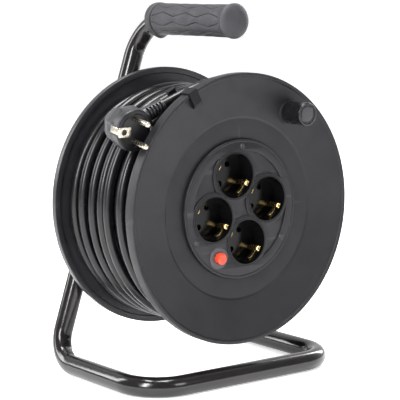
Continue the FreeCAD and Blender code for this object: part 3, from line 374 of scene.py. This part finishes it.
def sheet_metal(obj, thickness, edge):
    """Give a surface the thickness of a metal strip, with softened edges."""
    thick = obj.modifiers.new("sheet", "SOLIDIFY")
    thick.thickness = thickness * MM
    thick.offset = 0.0
    rounded = obj.modifiers.new("edges", "BEVEL")
    rounded.width = edge * MM
    rounded.segments = 2


def apart(first, second):
    """The angle between two directions, in radians."""
    return abs((first - second + math.pi) % (2 * math.pi) - math.pi)


def softened(points, radius, closed):
    """A profile with its corners rounded."""
    result = []
    count = len(points)
    for index, point in enumerate(points):
        here = Vector(point)
        if not closed and index in (0, count - 1):
            result.append(tuple(here))
            continue
        before = Vector(points[index - 1])
        after = Vector(points[(index + 1) % count])
        reach = min(radius, (here - before).length * 0.45, (after - here).length * 0.45)
        start = here + (before - here).normalized() * reach
        end = here + (after - here).normalized() * reach
        for share in (0.0, 0.33, 0.67, 1.0):
            result.append(tuple(start * (1 - share) ** 2 + here * (2 * share * (1 - share))
                                + end * share ** 2))
    return result


def turned(name, profile, finish, centre=(0.0, 0.0), steps=160, closed=True, shape=None, turn=None,
           sharp=32.0):
    """A lathe form about an axis parallel to Y, or about the Y axis that the matrix turn has moved.

    The profile holds (y, radius) and shape, a function of (angle, y, radius), may move a point.
    """
    verts = []
    rows = []
    for along, radius in profile:
        row = []
        if radius < 1e-4:
            verts.append((0.0, along, 0.0))
            row = [len(verts) - 1] * steps
        else:
            for step in range(steps):
                angle = 2 * math.pi * step / steps
                y, r = (along, radius) if shape is None else shape(angle, along, radius)
                verts.append((r * math.cos(angle), y, r * math.sin(angle)))
                row.append(len(verts) - 1)
        rows.append(row)
    faces = []
    pairs = list(zip(rows, rows[1:])) + ([(rows[-1], rows[0])] if closed else [])
    for first, second in pairs:
        for step in range(steps):
            after = (step + 1) % steps
            corners = [first[step], first[after], second[after], second[step]]
            unique = list(dict.fromkeys(corners))
            if len(unique) > 2:
                faces.append(unique)
    if turn is None:
        placed = [at(x + centre[0], y, z + centre[1]) for x, y, z in verts]
    else:
        placed = [turn @ Vector(v) for v in verts]
    return add_mesh(name, placed, faces, finish, sharp)


def outline_solid(name, loops, front, back, finish, bevel=0.25, place=None):
    """A flat solid with holes from closed outlines of (x, z), with bevelled edges."""
    data = bpy.data.curves.new(name, "CURVE")
    data.dimensions = "2D"
    data.fill_mode = "BOTH"
    data.extrude = (back - front) / 2 * MM - bevel * MM
    data.bevel_depth = bevel * MM
    data.bevel_resolution = 2
    data.offset = -bevel * MM
    for loop in loops:
        spline = data.splines.new("POLY")
        spline.points.add(len(loop) - 1)
        for slot, (x, z) in zip(spline.points, loop):
            slot.co = (x * MM, z * MM, 0.0, 1.0)
        spline.use_cyclic_u = True
    temporary = link(name + "_outline", data)
    bpy.context.view_layer.update()
    mesh = applied(temporary)
    bpy.data.objects.remove(temporary)
    if place is None:
        place = Matrix.Translation(at(0, 0, 0))
    upright = Matrix.Rotation(math.pi / 2, 4, "X")
    mesh.transform(place @ Matrix.Translation((0, (front + back) / 2 * MM, 0)) @ upright)
    outward(mesh, weld=True)
    mesh.name = name
    obj = link(name, mesh)
    paint(obj, finish)
    smooth(mesh, 30.0)
    return obj


def arc(x, z, radius, start, end, steps):
    """Points of an arc about (x, z), with both ends."""
    return [(x + radius * math.cos(start + (end - start) * k / steps),
             z + radius * math.sin(start + (end - start) * k / steps)) for k in range(steps + 1)]


def circle_loop(x, z, radius, steps=96):
    """Points of a whole circle about (x, z)."""
    return arc(x, z, radius, 0.0, 2 * math.pi, steps)[:-1]


def join(name, objects):
    """Several meshes as one object."""
    build = bmesh.new()
    finishes = []
    for obj in objects:
        start = len(build.faces)
        build.from_mesh(obj.data)
        build.faces.ensure_lookup_table()
        own = []
        for finish in obj.data.materials:
            if finish not in finishes:
                finishes.append(finish)
            own.append(finishes.index(finish))
        for face in build.faces[start:]:
            face.material_index = own[face.material_index]
    mesh = bpy.data.meshes.new(name)
    build.to_mesh(mesh)
    build.free()
    for obj in objects:
        bpy.data.objects.remove(obj)
    obj = link(name, mesh)
    paint(obj, *finishes)
    smooth(mesh, 30.0)
    return obj


# ---------------------------------------------------------------- front flange

PANEL_EDGE = 61.9
PANEL_OPENING = 62.3


def front_flange():
    """The dished disc with its rim, the ring for the barrel, the panel's ledge and the knob's seat."""
    profile = [
        (10.0, 116.8), (4.3, 116.5), (10.5, 81.5), (10.5, 76.2), (19.0, 76.2), (19.0, 73.3), (10.5, 73.3),
        (11.0, 57.5), (8.4, 57.5), (8.4, PANEL_OPENING), (8.0, PANEL_OPENING), (8.0, 80.0), (7.0, 81.6),
        (1.5, 116.4), (0.1, 117.1), (0.1, 120.0), (10.0, 120.0),
    ]
    face = turned("flange_disc", softened(profile, 0.7, True), FLANGE, steps=256)
    knob = middle("winding_knob")
    ring = softened([(3.4, 3.0), (3.4, 11.5), (9.0, 11.5), (9.0, 3.0)], 0.4, True)
    seat = turned("knob_seat", ring, FLANGE, centre=(knob.x, knob.z), steps=64)
    return join("front_flange_shell", [face, seat])


flange = front_flange()
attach(flange, "drum")
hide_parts("front_flange")


# ---------------------------------------------------------------- rear flange

RIBS = 8
RIB_HALF = 1.25
RIB_DRAFT = 0.35


def rear_flange():
    """The rear disc with its hub and rim, and the ribs on its back."""
    profile = [
        (100.0, 8.0), (100.0, 14.0), (119.0, 14.0), (119.0, 73.3), (112.5, 73.3), (112.5, 76.2),
        (119.0, 76.2), (119.0, 81.5), (121.5, 114.5), (119.5, 114.6), (119.5, 120.0), (125.0, 120.0),
        (125.0, 116.8), (124.0, 116.4), (121.5, 81.5), (121.5, 14.0), (131.0, 14.0), (131.0, 8.0),
    ]
    pieces = [turned("rear_disc", softened(profile, 0.6, True), REAR, steps=256)]
    rib = [(13.2, 121.3), (13.2, 125.5), (100.0, 125.5), (112.0, 123.6), (112.0, 121.3)]
    for index in range(RIBS):
        angle = math.pi / 2 + index * 2 * math.pi / RIBS
        verts = []
        for side in (-RIB_HALF, RIB_HALF):
            for reach, along in rib:
                inset = RIB_DRAFT if along > 123.0 else 0.0
                across = side - math.copysign(inset, side)
                verts.append(at(reach * math.cos(angle) - across * math.sin(angle), along,
                                reach * math.sin(angle) + across * math.cos(angle)))
        count = len(rib)
        faces = [list(range(count)), list(range(count, 2 * count))]
        faces += [[k, (k + 1) % count, (k + 1) % count + count, k + count] for k in range(count)]
        pieces.append(add_mesh("rear_rib_%d" % index, verts, faces, REAR))
    return join("rear_flange_shell", pieces)


back_plate = rear_flange()
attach(back_plate, "drum")
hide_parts("rear_flange")


# ---------------------------------------------------------------- socket panel

SOCKETS = ["socket_well_%d" % index for index in (1, 2, 3, 4)]
centres = [middle(node) for node in SOCKETS]
PANEL_FRONT = offset(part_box("socket_panel")[0]).y
PANEL_BACK = PANEL_FRONT + 3.1
FIELD_DEPTH = 1.3
RAISED_DEPTH = 1.8
WINDOW_OUTER = 52.0
COLLAR_ROOM = 23.7
WELL_HOLE = 21.25
BUTTON_HOLE = 5.45


def polar(reach, angle):
    """The point (x, z) at this distance and angle from the drum axis."""
    return reach * math.cos(angle), reach * math.sin(angle)


def collar_arc(centre, source, target, steps):
    """The short arc round a socket's collar, from one point of it to another."""
    begin = math.atan2(source[1] - centre.z, source[0] - centre.x)
    end = math.atan2(target[1] - centre.z, target[0] - centre.x)
    turn = (end - begin + math.pi) % (2 * math.pi) - math.pi
    return arc(centre.x, centre.z, COLLAR_ROOM, begin, begin + turn, steps)


def window_loop(first, second):
    """The recessed field between two neighbouring sockets: an outer arc and a side along each collar."""
    reach = math.hypot(first.x, first.z)
    spread = math.acos((WINDOW_OUTER ** 2 + reach ** 2 - COLLAR_ROOM ** 2) / (2 * WINDOW_OUTER * reach))
    from_angle = math.atan2(first.z, first.x)
    to_angle = math.atan2(second.z, second.x)
    if to_angle < from_angle:
        to_angle += 2 * math.pi
    half = math.hypot(first.x - second.x, first.z - second.z) / 2
    inner = reach * math.cos((to_angle - from_angle) / 2)
    inner += math.sqrt(max(0.0, COLLAR_ROOM ** 2 - half ** 2))
    tip = polar(inner, (from_angle + to_angle) / 2)
    loop = arc(0, 0, WINDOW_OUTER, from_angle + spread, to_angle - spread, 16)
    start = loop[0]
    loop += collar_arc(second, loop[-1], tip, 14)[1:]
    loop += collar_arc(first, tip, start, 14)[1:-1]
    return softened(loop, 0.8, True)


def centre_loop():
    """The recessed star in the middle, between the four collars."""
    loop = []
    for centre in centres:
        angle = math.atan2(centre.z, centre.x)
        side = math.hypot(centre.x, centre.z) * math.sin(math.pi / 4)
        tip = side - math.sqrt(COLLAR_ROOM ** 2 - side ** 2)
        before = polar(tip, angle - math.pi / 4)
        after = polar(tip, angle + math.pi / 4)
        loop += collar_arc(centre, before, after, 10)[:-1]
    return softened(loop, 0.5, True)


def socket_panel():
    """The raised face with its openings and fields, the ground of the fields, the collars and the edge."""
    button = middle("reset_button")
    holes = [circle_loop(centre.x, centre.z, WELL_HOLE) for centre in centres]
    holes.append(circle_loop(button.x, button.z, BUTTON_HOLE, 48))
    fields = [window_loop(centres[a], centres[b]) for a, b in ((3, 0), (0, 1), (2, 3))]
    fields.append(centre_loop())
    raised = outline_solid("panel_raised", [circle_loop(0, 0, PANEL_EDGE, 200)] + holes + fields,
                           PANEL_FRONT, PANEL_FRONT + RAISED_DEPTH, PANEL, 0.3)
    sunken = outline_solid("panel_sunken", [circle_loop(0, 0, PANEL_EDGE - 0.3, 200)] + holes,
                           PANEL_FRONT + FIELD_DEPTH, PANEL_BACK, RECESS, 0.15)
    rings = []
    rim = [(PANEL_FRONT - 0.75, WELL_HOLE), (PANEL_FRONT - 0.75, WELL_HOLE + 0.8),
           (PANEL_FRONT + 0.4, WELL_HOLE + 0.9), (PANEL_FRONT + 0.4, WELL_HOLE)]
    for index, centre in enumerate(centres):
        rings.append(turned("collar_%d" % index, softened(rim, 0.3, True), PANEL,
                            centre=(centre.x, centre.z), steps=96))
    step = [(PANEL_FRONT - 0.15, PANEL_EDGE - 2.5), (PANEL_FRONT - 0.35, PANEL_EDGE - 2.1),
            (PANEL_FRONT - 0.35, PANEL_EDGE - 0.5), (PANEL_FRONT + 0.3, PANEL_EDGE),
            (PANEL_FRONT + 0.3, PANEL_EDGE - 2.7)]
    rings.append(turned("panel_edge", softened(step, 0.25, True), PANEL, steps=200))
    return join("socket_panel_face", [raised, sunken] + rings)


panel = socket_panel()
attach(panel, "drum")
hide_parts("socket_panel")


# ---------------------------------------------------------------- earth contacts

ROW = math.radians(63.0)
TAB_FIRST = math.radians(4.0)
TAB_STEP = math.radians(6.4)


def earth_contact(index):
    """A brass bow: two bulged springs up the well, joined behind its floor, and a tab along the wall."""
    centre = centres[index - 1]
    radial = Vector((math.sin(ROW), -math.cos(ROW)))
    sideways = Vector((math.cos(ROW), math.sin(ROW)))
    half = [(0.0, 25.3), (16.6, 25.3), (17.9, 24.2), (17.9, 20.5), (16.7, 16.0), (15.6, 12.0), (15.5, 9.4),
            (16.3, 7.4), (17.8, 6.5)]
    line = softened([(-r, y) for r, y in reversed(half[1:])] + half, 1.1, False)
    verts = []
    columns = [(-2.1, 0.28), (-1.2, 0.06), (0.0, 0.0), (1.2, 0.06), (2.1, 0.28)]
    for reach, along in line:
        for side, crown in columns:
            inward = -1 if reach > 0 else 1
            push = crown if abs(reach) > 3 and along < 24.5 else 0.0
            spot = radial * (reach - inward * push) + sideways * side
            verts.append(at(centre.x + spot.x, along, centre.z + spot.y))
    faces = grid_faces(len(line), len(columns))
    tab_reach = [18.9, 19.1, 19.1, 19.1, 19.1, 18.8]
    tab_along = [12.2, 13.4, 14.6, 15.8]
    faces += grid_faces(len(tab_reach), len(tab_along), len(verts))
    for row, reach in enumerate(tab_reach):
        x, z = polar(reach, ROW - math.pi / 2 - TAB_FIRST - TAB_STEP * row)
        verts += [at(centre.x + x, along, centre.z + z) for along in tab_along]
    obj = add_mesh("earth_bow_%d" % index, verts, faces, BRASS, 50.0)
    sheet_metal(obj, 0.7, 0.12)
    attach(obj, "drum")
    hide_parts("earth_contact_%d" % index)


for index in (1, 2, 3, 4):
    earth_contact(index)


# ---------------------------------------------------------------- knob

BRIDGES = (0.7, 3.9)
BRIDGE_HALF = 0.25


def knob_parts():
    """The knob and the cap in its front, which has a ring slot."""
    low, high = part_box("winding_knob")
    front = offset(low).y
    back = offset(high).y
    spot = middle("winding_knob")
    body = [(front + 3.0, 8.5), (front + 0.2, 8.5), (front, 8.8), (front, 9.7), (front + 0.7, 10.3),
            (front + 8.0, 10.2), (back - 1.2, 10.3), (back, 9.9), (back, 3.1), (back - 8.0, 3.1),
            (back - 8.0, 6.4), (front + 3.0, 6.4)]
    shell = turned("crank_knob", softened(body, 0.35, True), KNOB, centre=(spot.x, spot.z), steps=96)
    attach(shell, "knob")
    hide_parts("winding_knob")

    def slotted(angle, along, radius):
        """The ring slot round the middle, left whole at two bridges."""
        bridge = min(apart(angle, centre) for centre in BRIDGES)
        filled = 6.6 < radius < 7.7 and bridge < BRIDGE_HALF and along > front + 0.6
        return (front + 0.5 if filled else along), radius

    cap = [(front + 0.42, 0.0), (front + 0.45, 3.0), (front + 0.5, 6.4), (front + 0.65, 6.72),
           (front + 1.7, 6.85), (front + 1.7, 7.45), (front + 0.65, 7.58), (front + 0.5, 7.8),
           (front + 0.6, 8.15), (front + 1.0, 8.25), (front + 2.8, 8.25), (front + 2.8, 0.0)]
    lid = turned("crank_knob_cap", cap, KNOB_CAP, centre=(spot.x, spot.z), steps=96, closed=False,
                 shape=slotted)
    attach(lid, "knob")
    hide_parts("knob_cap")


knob_parts()


# ---------------------------------------------------------------- frame tube

TUBE = 9.0
WELD_GAP = 19.0
BENDS = [38.0, 30.0, 36.0, 36.0, 30.0]
BEND_STEPS = 36
AROUND = 56
# How far a bend is drawn in: on its inside evenly, there again at each ripple, and on its inside and
# outside alike.
FLATTENED = 0.35
RIPPLE_DEPTH = 0.95
RIPPLES = 3
OVAL = 0.25


def tube_route():
    """Corner points of the frame tube's centreline, from the CAD node's own box."""
    low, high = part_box("frame_tube")
    low = offset(low)
    high = offset(high)
    left = low.x + TUBE
    right = high.x - TUBE
    floor = low.z + TUBE
    top = high.z - TUBE
    legs = high.y - TUBE
    bar = low.y + TUBE
    handle = offset(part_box("tube_end_plug")[0]).y
    foot = Vector((right, legs, floor))
    rise = (Vector((0, legs, 0)) - foot).normalized()
    lean = Vector((0, legs, top)) - Vector((left, legs, floor))
    share = (left - right) * lean.z / (rise.x * lean.z - rise.z * lean.x)
    end = foot + rise * (share - WELD_GAP)
    return [Vector((0, handle, top)), Vector((0, legs, top)), Vector((left, legs, floor)),
            Vector((left, bar, floor)), Vector((right, bar, floor)), foot, end]


def tube_line():
    """Points along the centreline, each with the way to the inside of its bend and its place in it."""
    corners = tube_route()
    line = [(corners[0], None, 0.0)]
    for index, bend in enumerate(BENDS, start=1):
        here = corners[index]
        back = (corners[index - 1] - here).normalized()
        ahead = (corners[index + 1] - here).normalized()
        between = back.angle(ahead)
        reach = bend / math.tan(between / 2)
        inside = (back + ahead).normalized()
        hub = here + inside * (bend / math.sin(between / 2))
        sweep = math.pi - between
        first = here + back * reach - hub
        last = here + ahead * reach - hub
        for k in range(BEND_STEPS + 1):
            share = k / BEND_STEPS
            spoke = first * (math.sin((1 - share) * sweep) / math.sin(sweep))
            spoke = spoke + last * (math.sin(share * sweep) / math.sin(sweep))
            line.append((hub + spoke, -spoke.normalized(), share))
    line.append((corners[-1], None, 0.0))
    return line


def frame_mesh():
    """The tube round its centreline, pinched and rippled on the inside of each bend."""
    line = tube_line()
    verts = []
    faces = []
    tangent = (line[1][0] - line[0][0]).normalized()
    side = Vector((1, 0, 0))
    for index, (point, inside, share) in enumerate(line):
        before = line[max(0, index - 1)][0]
        after = line[min(len(line) - 1, index + 1)][0]
        ahead = (after - before).normalized()
        turn = tangent.rotation_difference(ahead)
        side = (turn @ side).normalized()
        side = (side - ahead * side.dot(ahead)).normalized()
        tangent = ahead
        up = ahead.cross(side)
        for k in range(AROUND):
            angle = 2 * math.pi * k / AROUND
            way = side * math.cos(angle) + up * math.sin(angle)
            radius = TUBE
            if inside is not None:
                facing = max(0.0, way.dot(inside))
                fade = math.sin(math.pi * share) ** 0.5 if 0 < share < 1 else 0.0
                ripple = 0.5 - 0.5 * math.cos(2 * math.pi * RIPPLES * share)
                radius -= facing ** 4 * fade * (FLATTENED + RIPPLE_DEPTH * ripple)
                radius -= OVAL * fade * abs(way.dot(inside)) ** 2
            verts.append(at(*(point + way * radius)))
    last = (len(line) - 1) * AROUND
    for row in range(0, last, AROUND):
        for k in range(AROUND):
            after = (k + 1) % AROUND
            faces.append([row + k, row + after, row + AROUND + after, row + AROUND + k])
    faces.append(list(range(AROUND)))
    faces.append([last + k for k in range(AROUND)])
    return add_mesh("frame_tube_shell", verts, faces, PAINT, 60.0)


tube = frame_mesh()
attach(tube, "frame")
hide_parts("frame_tube")


# ---------------------------------------------------------------- grip

# The zigzag grooves: how many, where the first is, their period and first crest along the grip, and how
# far they swing. GRIP_START and GRIP_END bound the grooved middle, behind the grip's front.
GRIP_LINES = 10
FIRST_LINE = 16
GRIP_PERIOD = 33.4
FIRST_CREST = 26.6
SWING = math.radians(8.4)
GROOVE_DEPTH = 1.0
GROOVE_WIDTH = 0.55
PILLOW = 0.3
PILLOW_WIDTH = 3.8
GRIP_START = 10.0
GRIP_END = 110.4
LOBE = 2.8
LOBE_AT = 114.0


def grip():
    """The rubber grip: domed end, grooved middle and collar with its finger stop."""
    handle = middle("tube_end_plug")
    front = offset(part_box("hand_grip")[0]).y
    profile = [(0.0, 0.0), (0.15, 3.0), (0.6, 6.5), (1.5, 10.0), (2.9, 13.0), (4.3, 14.9), (5.4, 15.55),
               (6.6, 15.5), (7.2, 15.1), (7.45, 14.2), (7.6, 13.5), (8.6, 13.5), (8.9, 14.1), (9.4, 14.5)]
    rows = 200
    for k in range(rows + 1):
        share = k / rows
        waist = 14.15 + 0.5 * max(0.0, 1 - share * 3.0) ** 2 + 0.3 * max(0.0, share * 2 - 1)
        profile.append((GRIP_START + (GRIP_END - GRIP_START) * share, waist))
    profile += [(110.8, 14.2), (111.0, 13.4), (112.0, 13.4), (112.2, 14.1), (112.5, 14.7), (113.2, 15.1),
                (114.2, 15.2), (116.5, 15.2), (118.4, 15.1), (119.6, 14.8), (120.5, 14.1), (121.0, 13.0),
                (121.0, 9.3)]
    profile = [(front + along, radius) for along, radius in profile]

    def relief(angle, along, radius):
        """Zigzag grooves that mirror each other, and the lobe under the rear collar."""
        if GRIP_START + 1.0 < along - front < GRIP_END - 1.5:
            phase = ((along - front - FIRST_CREST) / GRIP_PERIOD + 0.5) % 1.0
            wave = (4 * abs(phase - 0.5) - 1) * SWING
            gaps = []
            for index in range(GRIP_LINES):
                line = math.radians(FIRST_LINE + 360 / GRIP_LINES * index)
                gaps.append(apart(angle, line + (-wave if index % 2 else wave)))
            distance = min(gaps) * radius
            radius -= GROOVE_DEPTH * math.exp(-(distance / GROOVE_WIDTH) ** 2)
            radius += PILLOW * min(1.0, distance / PILLOW_WIDTH)
        down = max(0.0, -math.sin(angle))
        bulge = math.exp(-((along - front - LOBE_AT) / 5.0) ** 2)
        radius += LOBE * bulge * down ** 8
        return along, radius

    obj = turned("hand_grip_rubber", profile, RUBBER, centre=(handle.x, handle.z), steps=288,
                 closed=False, shape=relief, sharp=50.0)
    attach(obj, "frame")
    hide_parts("hand_grip")


grip()


# ---------------------------------------------------------------- plug

# The plug's own axes: its pins point to -Y, and the cable leaves it sideways, BOOT_BACK behind its face.
PLUG_SPOT = (-105.5, 15.4, 74.3)
PLUG_YAW = math.radians(-3.0)
PLUG_PITCH = math.radians(9.5)
BOOT_TURN = math.radians(25.0)
BOOT_BACK = 16.0
PIN_SPACING = 19.0
VOXEL = 0.38
RIB_FIRST = 20.0
RIB_STEP = 3.4

plug_pose = Matrix.Translation(at(*PLUG_SPOT)) @ Matrix.Rotation(PLUG_YAW, 4, "Z")
plug_pose = plug_pose @ Matrix.Rotation(PLUG_PITCH, 4, "X") @ Matrix.Scale(MM, 4)
exit_pose = plug_pose @ Matrix.Translation((0, BOOT_BACK, 0)) @ Matrix.Rotation(-BOOT_TURN, 4, "Y")
exit_pose = exit_pose @ Matrix.Rotation(-math.pi / 2, 4, "Z")


def plug_body():
    """The round face and the eight-sided housing behind it, with the neck of the strain relief."""
    eighth = math.pi / 4

    def facets(angle, along, radius):
        """Flats for the side strips near the face, and eight sides behind it."""
        across = abs(math.cos(angle))
        up = abs(math.sin(angle))
        if across > 0.93 and along < 12.0 and up * radius < 3.9:
            radius = min(radius, 16.7 / across)
        if along > 7.0:
            octagon = math.cos(eighth / 2) / math.cos((angle + 0.3) % eighth - eighth / 2)
            radius *= 1 + (octagon * 1.06 - 1) * min(1.0, (along - 7.0) / 4.0)
        return along, radius

    front = [(0.6, 0.0), (0.6, 13.6), (0.35, 14.3), (0.0, 14.8), (0.0, 16.8), (0.5, 17.7), (1.6, 18.2),
             (6.6, 18.2), (7.2, 18.0), (9.0, 18.0), (11.5, 18.1), (18.0, 17.4), (24.0, 15.4), (28.5, 13.6),
             (30.0, 12.0), (30.0, 0.0)]
    shell = turned("plug_shell", front, PLUG, steps=192, closed=False, shape=facets, turn=plug_pose)
    neck = [(0.0, 0.0), (0.0, 10.4), (8.0, 10.2), (14.5, 8.6), (17.0, 8.2), (17.0, 0.0)]
    stub = turned("plug_neck", softened(neck, 0.8, False), PLUG, steps=96, closed=False, turn=exit_pose)
    whole = join("plug_housing", [shell, stub])
    voxel = whole.modifiers.new("one_skin", "REMESH")
    voxel.mode = "VOXEL"
    voxel.voxel_size = VOXEL * MM
    voxel.use_smooth_shade = True
    ease = whole.modifiers.new("ease", "SMOOTH")
    ease.factor = 0.5
    ease.iterations = 3
    bpy.context.view_layer.update()
    mesh = applied(whole)
    whole.modifiers.clear()
    whole.data = mesh
    mesh.name = "plug_housing"
    paint(whole, PLUG, PLUG_FACE)
    to_plug = plug_pose.inverted()
    for face in mesh.polygons:
        face.material_index = 1 if (to_plug @ face.center).y < 0.9 else 0
    smooth(mesh, 50.0)
    return whole


def plug_boot():
    """The tapered strain relief round the cable."""
    def ribs(angle, along, radius):
        """Five slots on each side, so that the strain relief bends."""
        place = (along - RIB_FIRST) / RIB_STEP
        if 0 <= place < 5 and place % 1.0 > 0.42 and abs(math.cos(angle)) > 0.38:
            radius -= 2.0
        return along, radius

    profile = [(17.0, 0.0), (17.0, 7.3)]
    steps = 110
    for k in range(steps + 1):
        along = 17.2 + 22.4 * k / steps
        profile.append((along, 7.4 - 1.75 * k / steps))
    profile += [(39.9, 5.4), (40.0, 4.9), (40.0, 0.0)]
    return turned("plug_strain_relief", profile, PLUG, steps=144, closed=False, shape=ribs, turn=exit_pose,
                  sharp=35.0)


def plug_pin(name, side):
    """One round pin with a rounded tip and a slightly thinner foot."""
    profile = [(-19.0, 0.0), (-19.0, 0.9), (-18.75, 1.7), (-18.2, 2.2), (-17.4, 2.4), (-9.0, 2.38),
               (-8.8, 2.3), (7.9, 2.3), (7.9, 0.0)]
    pose = plug_pose @ Matrix.Translation((0, 0, side * PIN_SPACING / 2))
    return turned(name, softened(profile, 0.25, False), NICKEL, steps=40, closed=False, turn=pose)


def earth_strip(name, side):
    """A nickel strip along the side of the plug, bent in over the edge of its face."""
    line = softened([(16.75, 12.0), (16.75, 1.2), (16.2, -0.25), (14.4, -0.25)], 0.9, False)
    columns = (-3.0, -1.5, 0.0, 1.5, 3.0)
    verts = []
    for reach, along in line:
        for up in columns:
            verts.append(plug_pose @ Vector((side * (reach + 0.2 - 0.02 * up * up), along, up)))
    obj = add_mesh(name, verts, grid_faces(len(line), len(columns)), NICKEL, 50.0)
    sheet_metal(obj, 0.75, 0.15)
    return obj


def earth_plate(name):
    """The left strip with its plate on the face, which has the hole for an earth pin."""
    outline = softened([(-16.6, -5.2), (-4.6, -5.2), (-4.6, 3.4), (-16.6, 3.4)], 1.2, True)
    hole = circle_loop(-11.2, -0.9, 2.5, 32)
    in_metres = plug_pose @ Matrix.Scale(1 / MM, 4)
    plate = outline_solid("earth_plate", [outline, hole], -0.5, 0.7, NICKEL, 0.15, in_metres)
    strip = earth_strip("earth_side", -1)
    mesh = applied(strip)
    strip.modifiers.clear()
    strip.data = mesh
    return join(name, [plate, strip])


housing = plug_body()
boot = plug_boot()
pin_1 = plug_pin("plug_live_pin", 1)
pin_2 = plug_pin("plug_neutral_pin", -1)
strip_1 = earth_plate("plug_earth_left")
strip_2 = earth_strip("plug_earth_right", 1)
PLUG_PIECES = [
    (housing, "plug_body", "plug_rubber"),
    (boot, "plug_boot", "plug_rubber"),
    (pin_1, "plug_pin_1", "pin_nickel"),
    (pin_2, "plug_pin_2", "pin_nickel"),
    (strip_1, "plug_earth_1", "pin_nickel"),
    (strip_2, "plug_earth_2", "pin_nickel"),
]
for piece, node, slot in PLUG_PIECES:
    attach(piece, "drum")
    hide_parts(node)

paint(mains_cable, SHEATH)
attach(mains_cable, "drum")
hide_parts("cable_winding", "cable_lead")


# ---------------------------------------------------------------- carried CAD nodes

# Nodes that are shown with their CAD mesh, by finish, and the width of the bevel on some of them.
CARRIED = {
    PAINT: ["leg_weld"],
    ZINC: ["axle_bolt", "axle_washers", "axle_locknut", "barrel_screws", "clamp_screws", "reset_spring",
           "knob_pin", "knob_pin_nut"],
    BLACKENED: ["panel_screws", "knob_washer"],
    RECESS: ["cable_clip"],
    BUSH: ["bearing_bush"],
    FLANGE: ["drum_barrel", "axle_spacer", "module_cover", "cable_clamp", "thermal_cutout",
             "tube_end_plug", "cable_grommet"],
    WELL: SOCKETS,
    BRASS: ["live_bar", "neutral_bar", "earth_bar"],
    COLLAR: ["button_bezel"],
    RED: ["reset_button"],
    SHEATH: ["cable_tail"],
}
BEVELS = {
    "cable_clip": 0.4, "axle_spacer": 0.5, "reset_button": 0.5, "button_bezel": 0.3,
    "axle_bolt": 0.3, "axle_locknut": 0.3, "panel_screws": 0.2, "barrel_screws": 0.2, "cable_clamp": 0.4,
    "knob_washer": 0.2, "socket_well_1": 0.25, "socket_well_2": 0.25, "socket_well_3": 0.25,
    "socket_well_4": 0.25,
}
for finish, names in CARRIED.items():
    for name in names:
        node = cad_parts[name]
        for index in range(max(1, len(node.data.materials))):
            if index < len(node.data.materials):
                node.data.materials[index] = finish
            else:
                node.data.materials.append(finish)
        if name in BEVELS:
            bevel = node.modifiers.new("soft_edges", "BEVEL")
            bevel.width = BEVELS[name] * MM
            bevel.segments = 2
            bevel.limit_method = "ANGLE"
            bevel.angle_limit = math.radians(40)


# ---------------------------------------------------------------- studio

FLOOR_HALF = 14.0
FLOOR_GLOW = 0.55
LOOK_AT = (0.0, 0.0, 0.17)
# Area lights, in metres and watts: name, place, width and height, power. All of them face LOOK_AT.
LIGHTS = [
    ("key_left", (-1.6, -0.7, 1.1), (0.4, 1.3), 44.0),
    ("fill_front", (0.6, -2.0, 1.1), (0.9, 0.7), 12.0),
    ("rim_right", (1.6, 0.3, 0.9), (0.35, 1.2), 20.0),
    ("top_soft", (-0.1, -0.1, 1.9), (1.0, 0.7), 48.0),
    ("back_left", (-1.1, 1.3, 0.9), (0.4, 1.1), 16.0),
]


def floor():
    """A pale ground that glows a little, so that it fades into the background."""
    mesh = bpy.data.meshes.new("floor")
    far = FLOOR_HALF
    mesh.from_pydata([(-far, -far, 0), (far, -far, 0), (far, far, 0), (-far, far, 0)], [], [(0, 1, 2, 3)])
    obj = link("floor", mesh)
    finish = material("pale_floor", (0.93, 0.93, 0.93), 0.75, spec=0.15, variation=0.01, bump=0.0,
                      cloud=3.0)
    glow = finish.node_tree.nodes["Principled BSDF"]
    glow.inputs["Emission Color"].default_value = (1.0, 1.0, 1.0, 1.0)
    glow.inputs["Emission Strength"].default_value = FLOOR_GLOW
    paint(obj, finish)


def light(name, place, size, power):
    """A rectangular white light that faces the reel."""
    data = bpy.data.lights.new(name, "AREA")
    data.shape = "RECTANGLE"
    data.size, data.size_y = size
    data.energy = power
    obj = link(name, data)
    obj.location = place
    obj.rotation_euler = (Vector(LOOK_AT) - Vector(place)).to_track_quat("-Z", "Y").to_euler()


floor()
for row in LIGHTS:
    light(*row)


def surroundings():
    """White studio behind the object, dimmer towards the camera's side."""
    world = bpy.data.worlds.new("studio")
    world.use_nodes = True
    tree = world.node_tree
    where = tree.nodes.new("ShaderNodeTexCoord").outputs["Generated"]
    facing = tree.nodes.new("ShaderNodeVectorMath")
    facing.operation = "DOT_PRODUCT"
    facing.inputs[1].default_value = (0.6, 0.8, 0.0)
    tree.links.new(where, facing.inputs[0])
    shade = ramp(tree, facing.outputs["Value"], 0.0, 0.75, (0.22, 0.22, 0.235), (1.0, 1.0, 1.0))
    background = tree.nodes["Background"]
    background.inputs["Strength"].default_value = 1.06
    tree.links.new(shade, background.inputs["Color"])
    bpy.context.scene.world = world


surroundings()
bpy.context.scene.view_settings.view_transform = "Standard"
